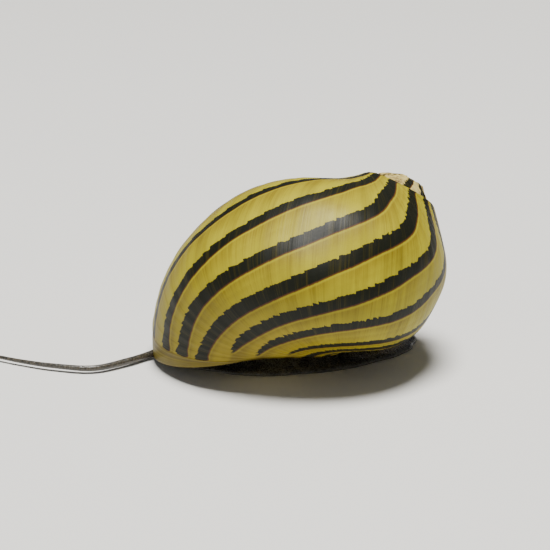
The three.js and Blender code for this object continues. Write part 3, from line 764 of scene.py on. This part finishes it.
class NERITE_OT_shell(bpy.types.Operator):
    """The whole shell: its whorls wound round the axis, the mouth's hollow, and the worn tip"""
    bl_idname = "nerite.shell"
    bl_label = "Shell"

    def execute(self, context):
        settings = context.scene.nerite_shell
        material = shell_material(settings)
        start, oldest = -NEWEST_TURNS * TURN, -settings.whorls * TURN
        newest = whorl_length(0, 0.0, start, settings, material)

        def hollow_at(theta):
            inset = LIP_EDGE + (LIP_WALL - LIP_EDGE) * smooth(-theta, 0.0, LIP_THICKENS)
            return hollow_section(HOLLOW_STEPS, float(inset), theta)
        hollow = wound("hollow", hollow_at, 0.05, -HOLLOW_TURN, HOLLOW_RINGS, 1.0, settings, material)
        combine(newest, [hollow], "DIFFERENCE")
        lengths = []
        while start > oldest + 0.01:
            end = max(start - LENGTH_TURNS * TURN, oldest)
            lengths.append(whorl_length(len(lengths) + 1, start, end, settings, material))
            start = end
        shell = combine(newest, [*lengths, *core_and_tip()], "UNION")
        shell.name = "shell"
        shell.data.name = "shell"
        shell.data.materials.clear()
        shell.data.materials.append(material)
        for face in shell.data.polygons:
            face.material_index = 0
        face_outwards(shell.data)
        self.pit_spire(shell.data)
        paint_stripes(shell.data)
        shell.data.shade_smooth()
        shell.data.set_sharp_from_angle(angle=math.radians(40))
        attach(shell, "root")
        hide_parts("shell_body_whorl", "shell_spire")
        return {"FINISHED"}

    @staticmethod
    def pit_spire(mesh):
        """Wears small pits into the oldest whorls."""
        growth = read_rows(mesh.attributes["growth"].data, "vector")
        worn = smooth(-np.degrees(growth[:, 0]), PITTED_FROM, PITTED_TO)
        corners, normals = read_rows(mesh.vertices, "co"), read_rows(mesh.vertex_normals, "vector")
        mm = corners / MM
        waves = sum(
            np.sin(mm @ np.array(direction) * pitch + phase)
            for direction, pitch, phase in PIT_WAVES) / len(PIT_WAVES)
        corners -= normals * (worn * (0.05 + 0.09 * waves) * MM)[:, None]
        mesh.vertices.foreach_set("co", corners.astype(np.float32).ravel())
        mesh.update()


# The inner lip's shelf

INNER_LIP_RADII = np.array([6.8, 2.5, 0.55])
INNER_LIP_RECESS = 0.6
TEETH, TEETH_SPAN = 7, 5.4
TOOTH_RADII, TOOTH_EDGE, TOOTH_SEED = (0.28, 0.5, 0.32), 2.2, 3
TOOTH_SIZES = (0.8, 1.15)  # the least and the most of its full size that a tooth has


def lip_place():
    """The frame of the shelf along the mouth's straight inner side."""
    along = SHOULDER - outer_point(BASE_AT, 0)
    along /= np.linalg.norm(along)
    across = np.cross(MOUTH_NORMAL, along)
    across /= np.linalg.norm(across)
    up = np.cross(along, across)
    place_at = off_axis(AXIS_FOOT, MOUTH_CENTRE, HOLLOW_FROM_AXIS + LIP_WALL)
    matrix = Matrix.Identity(4)
    for row in range(3):
        matrix[row][0], matrix[row][1], matrix[row][2] = along[row], across[row], up[row]
        matrix[row][3] = place_at[row] * MM
    return matrix


def teeth_tree():
    """Repeats a small tooth along the shelf's edge."""
    name = "row of teeth"
    if name in bpy.data.node_groups:
        return bpy.data.node_groups[name]
    tree, given, result = new_group(
        name,
        [("Geometry", "Geometry", None), ("Count", "Int", TEETH), ("Span", "Float", TEETH_SPAN * MM),
         ("Edge", "Float", TOOTH_EDGE * MM), ("Recess", "Float", INNER_LIP_RECESS * MM),
         ("Size", "Vector", TOOTH_RADII), ("Seed", "Int", TOOTH_SEED), ("Material", "Material", None)],
        [("Geometry", "Geometry")], "GeometryNodeTree")
    half = times(tree, given["Span"], -0.5)
    start = place(tree, "ShaderNodeCombineXYZ", {0: half, 1: given["Edge"], 2: given["Recess"]}).outputs[0]
    gap = maths(tree, "DIVIDE", given["Span"], minus(tree, given["Count"], 1.0))
    offset = place(tree, "ShaderNodeCombineXYZ", {0: gap, 1: 0.0, 2: 0.0}).outputs[0]
    line = place(tree, "GeometryNodeMeshLine", {
        "Count": given["Count"], "Start Location": start, "Offset": offset})
    tooth = place(tree, "GeometryNodeMeshIcoSphere", {"Radius": MM, "Subdivisions": 4})
    least, most = TOOTH_SIZES
    spread = {2: least, 3: most, "Seed": given["Seed"]}
    size = place(tree, "FunctionNodeRandomValue", spread, data_type="FLOAT")
    scale = vector_maths(tree, "MULTIPLY", given["Size"], size.outputs[1])
    repeated = place(tree, "GeometryNodeInstanceOnPoints", {
        "Points": line.outputs[0], "Instance": tooth.outputs[0], "Scale": scale})
    joined = place(tree, "GeometryNodeRealizeInstances", {"Geometry": repeated.outputs[0]})
    painted = place(tree, "GeometryNodeSetMaterial", {"Geometry": joined.outputs[0], "Material": given["Material"]})
    tree.links.new(painted.outputs[0], result.inputs[0])
    return tree


class NERITE_OT_inner_lip(bpy.types.Operator):
    """The smooth shelf along the mouth's inner side, with its row of fine teeth"""
    bl_idname = "nerite.inner_lip"
    bl_label = "Inner lip"

    def execute(self, context):
        settings = context.scene.nerite_shell
        material, tree, shader = new_material("inner_lip", Specular_IOR_Level=0.5, Coat_Weight=0.25)
        here = place(tree, "ShaderNodeTexCoord").outputs["Object"]
        clouds = noise(tree, here, 500.0, 3.0)
        colour = blend(tree, step(tree, clouds, 0.3, 0.7), settings.inside, settings.worn)
        feed(tree, shader, colour, step(tree, clouds, 0.3, 0.7, 0.20, 0.30), noise(tree, here, 2500.0), 0.1, 0.00003)
        shape = bmesh.new()
        bmesh.ops.create_icosphere(shape, subdivisions=6, radius=1.0)
        for corner in shape.verts:
            corner.co = Vector([corner.co[i] * INNER_LIP_RADII[i] * MM for i in range(3)])
            corner.co.z += INNER_LIP_RECESS * MM
        shelf = object_of("inner_lip", mesh_of("inner_lip", shape))
        teeth = object_of("teeth", bpy.data.meshes.new("teeth"))
        modifier = teeth.modifiers.new("teeth", "NODES")
        modifier.node_group = teeth_tree()
        edge = INNER_LIP_RADII[1] - TOOTH_RADII[1] / 2
        set_tree_inputs(modifier, {"Count": TEETH, "Edge": float(edge) * MM, "Material": material})
        plain_mesh(teeth, "teeth")
        combine(shelf, [teeth], "UNION")
        shelf.data.transform(lip_place())
        shelf.data.materials.clear()
        shelf.data.materials.append(material)
        face_outwards(shelf.data)
        shelf.data.shade_smooth()
        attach(shelf, "root")
        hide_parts("shell_inner_lip")
        return {"FINISHED"}


# The flesh, as one skin round simple forms that melt into each other. Sizes in millimetres.

FOOT_HALF_LENGTH, FOOT_HALF_WIDTH, FOOT_HEIGHT, FOOT_TAPER = 9.3, 5.8, 2.1, 0.14
BODY, BODY_RADII = (-0.6, 0.9, 3.4), (7.2, 4.5, 3.0)
HEAD, HEAD_RADII = (-6.9, 1.2, 2.0), (2.5, 2.5, 1.5)
SNOUT, SNOUT_RADII = (-8.5, 1.2, 1.65), (1.3, 1.7, 0.85)
EYE_STALK, EYE_STALK_RADII = (-7.3, 2.1, 2.2), (0.5, 0.45, 0.55)
EYE_OUT, EYE_RADIUS = (-0.35, 0.35, 0.35), 0.3
FEELER_ROOT_RADIUS, FEELER_TIP_RADIUS, FEELER_THINNING = 0.3, 0.12, 0.8
LEFT_FEELER = (
    (-8.3, -0.6, 1.75), (-9.7, -0.4, 0.95), (-11.1, -0.55, 0.42), (-13.2, -1.8, 0.42),
    (-15.9, -2.75, 0.4), (-18.7, -1.75, 0.4), (-21.0, -0.25, 0.36), (-23.2, 1.5, 0.36),
)
RIGHT_FEELER = (
    (-8.1, 3.0, 1.75), (-8.3, 4.4, 1.1), (-8.1, 6.0, 0.5), (-7.1, 8.5, 0.42),
    (-5.6, 11.2, 0.55), (-4.6, 13.8, 0.5), (-4.7, 16.4, 0.4),
)
FEELER_POINTS = 90
SKIN_REACH = np.array([[-24.0, -13.2, -0.3], [12.0, 17.2, 9.2]])  # two corners of a box round all the flesh


def feeler_curve(points):
    """Places along a smooth curve through the points, evenly apart."""
    points = np.array(points, float)
    padded = np.vstack([2 * points[0] - points[1], points, 2 * points[-1] - points[-2]])
    made = []
    for i in range(len(points) - 1):
        p0, p1, p2, p3 = padded[i:i + 4]
        for t in np.linspace(0, 1, 40, endpoint=False):
            made.append(0.5 * ((2 * p1) + (p2 - p0) * t + (2 * p0 - 5 * p1 + 4 * p2 - p3) * t * t
                               + (3 * p1 - p0 - 3 * p2 + p3) * t ** 3))
    made.append(points[-1])
    made = np.array(made)
    length = np.concatenate([[0], np.cumsum(np.linalg.norm(np.diff(made, axis=0), axis=1))])
    even = np.linspace(0, length[-1], FEELER_POINTS)
    return np.stack([np.interp(even, length, made[:, i]) for i in range(3)], 1)


def ellipsoid_distance(points, centre, radii):
    scaled = (points - np.array(centre)) / np.array(radii)
    near = np.linalg.norm(scaled, axis=1)
    steep = np.linalg.norm(scaled / np.array(radii), axis=1)
    return near * (near - 1) / np.maximum(steep, 1e-9)


def feeler_distance(points, curve):
    """Distance to a tapering feeler."""
    far = np.full(len(points), 50.0)
    low, high = curve.min(0) - 1.5, curve.max(0) + 1.5
    close = np.all((points > low) & (points < high), axis=1)
    some = points[close]
    best = np.full(len(some), 50.0)
    for i in range(len(curve) - 1):
        a, b = curve[i], curve[i + 1]
        t = np.clip((some - a) @ (b - a) / ((b - a) @ (b - a)), 0, 1)
        share = (i + t) / (len(curve) - 1)
        radius = FEELER_TIP_RADIUS + (FEELER_ROOT_RADIUS - FEELER_TIP_RADIUS) * (1 - share) ** FEELER_THINNING
        best = np.minimum(best, np.linalg.norm(some - a - t[:, None] * (b - a), axis=1) - radius)
    far[close] = best
    return far


def melt(a, b, reach):
    """The union of two forms, melted together over a short reach."""
    share = np.clip(0.5 + 0.5 * (b - a) / reach, 0, 1)
    return b * (1 - share) + a * share - reach * share * (1 - share)


def cut(a, b, reach):
    """What two forms share, with a rounded edge."""
    return -melt(-a, -b, reach)


def foot_distance(points):
    x, y, z = points.T
    blunt = 1 - FOOT_TAPER * x / FOOT_HALF_LENGTH
    angle = np.arctan2(y / (FOOT_HALF_WIDTH * blunt), x / FOOT_HALF_LENGTH)
    ruffle = 1 + 0.010 * np.sin(9 * angle + 0.6) + 0.006 * np.sin(17 * angle + 2.0)
    oval = np.hypot(x / FOOT_HALF_LENGTH, y / (FOOT_HALF_WIDTH * blunt)) / ruffle
    outside = (oval - 1) * FOOT_HALF_WIDTH * 0.95
    back = 0.42 + (FOOT_HEIGHT - 0.42) * smooth(-outside, 0.0, 4.2)
    form = cut(outside, z - back, 0.5)
    return cut(form, -z, 0.12)


def mantle_distance(points):
    """A collar of flesh that fills the shell's mouth a little way inside the lip."""
    local = points - MOUTH_CENTRE
    x, y = local[:, 0], local[:, 1]
    height = local[:, 2] - (MOUTH_SLOPE[0] * x + MOUTH_SLOPE[1] * y + MOUTH_BOW * (x * x + y * y))
    rim_points = (outer_point(np.linspace(0, TURN, 180, endpoint=False)) - MOUTH_CENTRE)[:, :2]
    angle = np.arctan2(y, x)
    rim_angle = np.arctan2(rim_points[:, 1], rim_points[:, 0])
    order = np.argsort(rim_angle)
    reach = np.interp(angle, rim_angle[order], np.linalg.norm(rim_points, axis=1)[order], period=TURN)
    side = np.hypot(x, y) - (reach - 0.35 - 0.10 * np.maximum(height, 0))
    # Straight inner side, along the shelf
    start, end = outer_point(BASE_AT, 0)[:2], SHOULDER[:2]
    along = (end - start) / np.linalg.norm(end - start)
    inner = (points[:, :2] - start) @ np.array([along[1], -along[0]]) + 0.4
    slab = cut(1.5 - height, height - 3.0, 0.5)
    return cut(cut(slab, side, 0.4), inner, 0.4)


def flesh_forms(points):
    """Distances to the flesh, the feelers and the mantle, and to all of it melted together."""
    curves = [feeler_curve(LEFT_FEELER), feeler_curve(RIGHT_FEELER)]
    body = melt(foot_distance(points), ellipsoid_distance(points, BODY, BODY_RADII), 0.9)
    body = melt(body, ellipsoid_distance(points, HEAD, HEAD_RADII), 0.7)
    body = melt(body, ellipsoid_distance(points, SNOUT, SNOUT_RADII), 0.5)
    for side in (-1, 1):
        stalk = (EYE_STALK[0], HEAD[1] + side * EYE_STALK[1], EYE_STALK[2])
        body = melt(body, ellipsoid_distance(points, stalk, EYE_STALK_RADII), 0.35)
    mantle = mantle_distance(points)
    feelers = np.minimum(*[feeler_distance(points, curve) for curve in curves])
    whole = melt(melt(body, mantle, 0.8), feelers, 0.25)
    return body, feelers, mantle, whole


def flesh_distance(points):
    return flesh_forms(points)[3]


def net_over(distance, low, high, spacing):
    """A closed net of four-sided faces over the surface where the distance is nought."""
    counts = np.ceil((high - low) / spacing).astype(int) + 1
    axes = [low[i] + spacing * np.arange(counts[i]) for i in range(3)]
    values = np.empty(counts)
    for i, x in enumerate(axes[0]):
        plane = np.stack(np.meshgrid([x], axes[1], axes[2], indexing="ij"), -1).reshape(-1, 3)
        values[i] = distance(plane).reshape(counts[1], counts[2])
    inside = values < 0
    corners = [(a, b, c) for a in (0, 1) for b in (0, 1) for c in (0, 1)]
    cells = counts - 1

    def corner(array, offset):
        return array[offset[0]:offset[0] + cells[0], offset[1]:offset[1] + cells[1], offset[2]:offset[2] + cells[2]]
    number = sum(corner(inside, o).astype(int) for o in corners)
    mixed = (number > 0) & (number < 8)
    index = np.full(cells, -1)
    index[mixed] = np.arange(mixed.sum())
    total, weight = np.zeros((mixed.sum(), 3)), np.zeros(mixed.sum())
    for a in corners:
        for axis in range(3):
            if a[axis] == 1:
                continue
            b = tuple(a[i] + (i == axis) for i in range(3))
            va, vb = corner(values, a)[mixed], corner(values, b)[mixed]
            crossed = (va < 0) != (vb < 0)
            share = np.where(crossed, va / np.where(crossed, va - vb, 1.0), 0)
            spot = np.array(a, float)[None] + share[:, None] * np.eye(3)[axis]
            total += np.where(crossed[:, None], spot, 0)
            weight += crossed
    base = np.stack(np.nonzero(mixed), 1)
    vertices = low + (base + total / weight[:, None]) * spacing
    faces = []
    for axis in range(3):
        u, v = [i for i in range(3) if i != axis]
        lower = [slice(None)] * 3
        upper = [slice(None)] * 3
        lower[axis], upper[axis] = slice(0, -1), slice(1, None)
        first, second = inside[tuple(lower)], inside[tuple(upper)]
        edge = np.argwhere(first != second)
        keep = np.all((edge[:, [u, v]] > 0) & (edge[:, [u, v]] < cells[[u, v]]), axis=1)
        edge = edge[keep]
        quad = []
        for du, dv in ((1, 1), (0, 1), (0, 0), (1, 0)):
            cell = edge.copy()
            cell[:, u] -= du
            cell[:, v] -= dv
            quad.append(index[cell[:, 0], cell[:, 1], cell[:, 2]])
        quad = np.stack(quad, 1)
        turned_round = first[edge[:, 0], edge[:, 1], edge[:, 2]] != (axis == 1)
        quad[turned_round] = quad[turned_round][:, ::-1]
        faces.append(quad)
    return vertices, np.concatenate(faces)


def pull_onto(distance, vertices, rounds=3):
    """Moves points onto the surface where the distance is nought."""
    for _ in range(rounds):
        here = distance(vertices)
        slope = np.stack([
            (distance(vertices + offset) - distance(vertices - offset)) / 0.02
            for offset in np.eye(3) * 0.01], 1)
        vertices = vertices - slope * (here / np.maximum(np.sum(slope * slope, 1), 0.2))[:, None]
    return vertices


def flesh_material(settings):
    material, tree, shader = new_material("flesh", Specular_IOR_Level=0.5, Coat_Weight=0.3, Coat_Roughness=0.15)
    here = place(tree, "ShaderNodeTexCoord").outputs["Object"]
    feeler, sole = attribute(tree, "feeler"), attribute(tree, "sole")
    grain = use_group(tree, wet_grain_group(), {"Place": here, "Size": 0.0003})
    fine = use_group(tree, wet_grain_group(), {"Place": here, "Size": 0.00011})
    colour = blend(tree, times(tree, grain["Mottle"], 0.7), settings.dark, settings.pale)
    colour = blend(tree, times(tree, fine["Mottle"], 0.35), colour, settings.pale)
    colour = blend(tree, sole, colour, settings.sole)
    threads = noise(tree, here, 5200.0, 3.0, 0.6)
    thread = blend(tree, step(tree, threads, 0.35, 0.65), settings.dark, settings.feeler)
    colour = blend(tree, feeler, colour, thread)
    rough = step(tree, fine["Grain"], 0.0, 1.0, 0.26, 0.42)
    relief = plus(tree, grain["Grain"], times(tree, fine["Grain"], 0.5))
    feed(tree, shader, colour, rough, relief, 0.4, 0.00006)
    return material


class NERITE_OT_flesh(bpy.types.Operator):
    """One skin for the foot, body, mantle, head, snout, eye stalks and feelers"""
    bl_idname = "nerite.flesh"
    bl_label = "Flesh"

    def execute(self, context):
        settings = context.scene.nerite_flesh
        spacing = settings.spacing / MM
        vertices, faces = net_over(flesh_distance, *SKIN_REACH, spacing)
        vertices = pull_onto(flesh_distance, vertices)
        vertices[:, 2] = np.maximum(vertices[:, 2], 0.0)
        body, feelers, mantle, _ = flesh_forms(vertices)
        mesh = mesh_from("skin", vertices * MM, faces.tolist())
        face_outwards(mesh)
        store(mesh, "feeler", smooth(body - feelers, -0.1, 0.5))
        store(mesh, "sole", 1 - smooth(vertices[:, 2], 0.0, 0.25))
        mesh.materials.append(flesh_material(settings))
        mesh.shade_smooth()
        skin = object_of("skin", mesh)
        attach(skin, "root")
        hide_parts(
            "mantle", "foot_front", "foot_middle", "foot_rear", "body_column", "head", "snout",
            "eye_stalk_left", "eye_stalk_right",
            *[f"tentacle_{side}_{part}" for side in ("left", "right") for part in (1, 2, 3, 4)])
        return {"FINISHED"}


class NERITE_OT_eyes(bpy.types.Operator):
    """The two glossy black eyes"""
    bl_idname = "nerite.eyes"
    bl_label = "Eyes"

    def execute(self, context):
        material, tree, shader = new_material("eye", Specular_IOR_Level=0.6, Coat_Weight=1.0, Coat_Roughness=0.04)
        here = place(tree, "ShaderNodeTexCoord").outputs["Object"]
        depth = noise(tree, here, 3000.0, 2.0)
        colour = blend(tree, step(tree, depth, 0.4, 0.7), (0.003, 0.003, 0.003), (0.012, 0.010, 0.008))
        feed(tree, shader, colour, step(tree, depth, 0.3, 0.7, 0.08, 0.14))
        for name, side in (("left", -1), ("right", 1)):
            centre = (
                EYE_STALK[0] + EYE_OUT[0], HEAD[1] + side * (EYE_STALK[1] + EYE_OUT[1]), EYE_STALK[2] + EYE_OUT[2])
            mesh = ball(f"eyeball_{name}", EYE_RADIUS, centre)
            mesh.materials.append(material)
            mesh.shade_smooth()
            eye = object_of(f"eyeball_{name}", mesh)
            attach(eye, "root")
            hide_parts(f"eye_{name}")
        return {"FINISHED"}


# The lid

LID_LENGTH, LID_WIDTH, LID_THICKNESS = 7.6, 4.2, 0.6
LID_AT, LID_ROLL, LID_PITCH, LID_TURN = (5.2, 1.6, 2.55), -0.1, 0.06, 0.25


class NERITE_OT_lid(bpy.types.Operator):
    """The half-moon lid on the back of the foot, with its curved lines of growth"""
    bl_idname = "nerite.lid"
    bl_label = "Lid"

    def execute(self, context):
        settings = context.scene.nerite_flesh
        rings, around = 48, 128
        half_length, nucleus = LID_LENGTH / 2, np.array([-LID_LENGTH * 0.30, -LID_WIDTH * 0.36])
        outline = []
        for share in np.linspace(0, 1, around, endpoint=False):
            if share < 0.66:
                angle = math.pi * share / 0.66
                outline.append((half_length * math.cos(angle), LID_WIDTH * math.sin(angle) - LID_WIDTH / 2))
            else:
                x = -half_length + LID_LENGTH * (share - 0.66) / 0.34
                outline.append((x, -LID_WIDTH / 2 - 0.12 * math.cos(x / half_length * math.pi / 2)))
        outline = np.array(outline)
        top, marks = [], []
        for i in range(1, rings + 1):
            share = i / rings
            spot = nucleus + (outline - nucleus) * share
            ridge = 0.025 * np.sin(share * 60.0) * share
            edge = 0.5 * (1 - math.sqrt(max(0.0, 1 - max(0.0, (share - 0.86) / 0.14) ** 2)))
            height = LID_THICKNESS * (0.55 + 0.45 * share ** 0.5) * (1 - edge) + ridge
            top.append(np.column_stack([spot, np.full(around, height)]))
            marks.append(np.full(around, share))
        bottom = np.column_stack([outline * 0.985, np.full(around, 0.1)])
        rows = [*top, bottom]
        vertices = np.concatenate([np.concatenate(rows), [[*nucleus, LID_THICKNESS * 0.55]]])
        faces = ring_faces(len(rows), around)[:-2]
        centre = len(vertices) - 1
        faces += [(centre, j, (j + 1) % around) for j in range(around)]
        faces.append(tuple(len(rows) * around - 1 - j for j in range(around)))
        mesh = mesh_from("lid", vertices * MM, faces)
        store(mesh, "growth", np.column_stack([
            np.concatenate([*marks, np.ones(around), [0.0]]),
            np.concatenate([np.tile(np.arange(around) / around, len(rows)), [0.0]]), np.zeros(len(vertices))]))
        turn = (Matrix.Translation(Vector(LID_AT) * MM) @ Matrix.Rotation(LID_TURN, 4, "Z")
                @ Matrix.Rotation(LID_PITCH, 4, "Y") @ Matrix.Rotation(LID_ROLL, 4, "X"))
        mesh.transform(turn)
        face_outwards(mesh)
        material, tree, shader = new_material("lid", Specular_IOR_Level=0.5, Coat_Weight=0.2)
        split = place(tree, "ShaderNodeSeparateXYZ", {0: attribute(tree, "growth", "Vector")}).outputs
        where = place(tree, "ShaderNodeCombineXYZ", {
            0: times(tree, split[0], 26.0), 1: 0.0, 2: 0.0}).outputs[0]
        lines = use_group(tree, growth_lines_group(), {"Place": where, "Fineness": 1.0})
        colour = blend(tree, step(tree, lines["Tone"], 0.35, 0.65), settings.horn, settings.feeler)
        colour = blend(tree, step(tree, split[0], 0.7, 1.0, 0.0, 0.6), colour, (0.62, 0.48, 0.34))
        feed(tree, shader, colour, step(tree, lines["Tone"], 0.3, 0.7, 0.28, 0.42), lines["Height"], 0.3, 0.00005)
        mesh.materials.append(material)
        mesh.shade_smooth()
        lid = object_of("lid", mesh)
        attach(lid, "root")
        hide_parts("operculum")
        return {"FINISHED"}


# The stage

FLOOR_HALF_WIDTH, WORLD_STRENGTH = 1.5, 0.13
LIGHT_AIM = (0, 0, 0.006)
# Each soft light: its name, place and width in metres, power and colour
LIGHTS = (
    ("key", (0.0, -0.04, 0.36), 0.15, 2.9, (1.0, 0.98, 0.95)),
    ("fill", (-0.30, -0.26, 0.16), 0.30, 0.16, (1, 1, 1)),
)


def soft_light(name, place_at, size, power, colour):
    data = bpy.data.lights.new(name, "AREA")
    data.shape, data.size, data.energy, data.color = "DISK", size, power, colour
    lamp = bpy.data.objects.new(name, data)
    bpy.context.scene.collection.objects.link(lamp)
    lamp.location = place_at
    lamp.rotation_mode = "QUATERNION"
    lamp.rotation_quaternion = (Vector(LIGHT_AIM) - Vector(place_at)).to_track_quat("-Z", "Y")


class NERITE_OT_stage(bpy.types.Operator):
    """The pale floor, the soft lights and the camera"""
    bl_idname = "nerite.stage"
    bl_label = "Stage"

    def execute(self, context):
        settings = context.scene.nerite_stage
        shape = bmesh.new()
        bmesh.ops.create_grid(shape, x_segments=8, y_segments=8, size=FLOOR_HALF_WIDTH)
        mesh = mesh_of("floor", shape)
        material, tree, shader = new_material("floor", Specular_IOR_Level=0.3)
        here = place(tree, "ShaderNodeTexCoord").outputs["Object"]
        clouds = noise(tree, here, 60.0, 3.0)
        pale = blend(tree, step(tree, clouds, 0.3, 0.7, 0.0, 0.06), settings.floor, (0.66, 0.64, 0.58))
        feed(tree, shader, pale, step(tree, clouds, 0.3, 0.7, 0.6, 0.7))
        mesh.materials.append(material)
        floor = object_of("floor", mesh)
        world = bpy.data.worlds.new("studio")
        world.use_nodes = True
        world.node_tree.nodes["Background"].inputs["Color"].default_value = (0.93, 0.95, 1.0, 1)
        world.node_tree.nodes["Background"].inputs["Strength"].default_value = WORLD_STRENGTH
        context.scene.world = world
        for light in LIGHTS:
            soft_light(*light)
        data = bpy.data.cameras.new("camera")
        data.lens, data.sensor_width = settings.lens, 36
        data.clip_start, data.clip_end = 0.01, 20
        camera = bpy.data.objects.new("camera", data)
        context.scene.collection.objects.link(camera)
        back = Vector((
            math.sin(settings.azimuth) * math.cos(settings.elevation),
            -math.cos(settings.azimuth) * math.cos(settings.elevation), math.sin(settings.elevation)))
        camera.location = Vector(settings.aim) + back * (settings.view_width * settings.lens / data.sensor_width)
        camera.rotation_mode = "QUATERNION"
        camera.rotation_quaternion = (-back).to_track_quat("-Z", "Y")
        context.scene.camera = camera
        return {"FINISHED"}


class NERITE_PT_panel(bpy.types.Panel):
    """Lists the snail's pieces in the sidebar"""
    bl_label = "Nerite"
    bl_idname = "NERITE_PT_panel"
    bl_space_type = "VIEW_3D"
    bl_region_type = "UI"
    bl_category = "Nerite"

    def draw(self, context):
        for operator in OPERATORS:
            self.layout.operator(operator.bl_idname)
        for settings in (context.scene.nerite_shell, context.scene.nerite_flesh, context.scene.nerite_stage):
            box = self.layout.box()
            for name in settings.__annotations__:
                box.prop(settings, name)


OPERATORS = (
    NERITE_OT_shell, NERITE_OT_inner_lip, NERITE_OT_flesh, NERITE_OT_eyes, NERITE_OT_lid, NERITE_OT_stage)
SETTINGS = {"nerite_shell": ShellSettings, "nerite_flesh": FleshSettings, "nerite_stage": StageSettings}


def register():
    for made in (*SETTINGS.values(), *OPERATORS, NERITE_PT_panel):
        bpy.utils.register_class(made)
    for name, group in SETTINGS.items():
        setattr(bpy.types.Scene, name, PointerProperty(type=group))


def unregister():
    for name in SETTINGS:
        delattr(bpy.types.Scene, name)
    for made in (NERITE_PT_panel, *reversed(OPERATORS), *SETTINGS.values()):
        bpy.utils.unregister_class(made)


def main():
    register()
    bpy.ops.nerite.stage()
    bpy.ops.nerite.shell()
    bpy.ops.nerite.inner_lip()
    bpy.ops.nerite.flesh()
    bpy.ops.nerite.eyes()
    bpy.ops.nerite.lid()


if __name__ == "__main__":
    main()
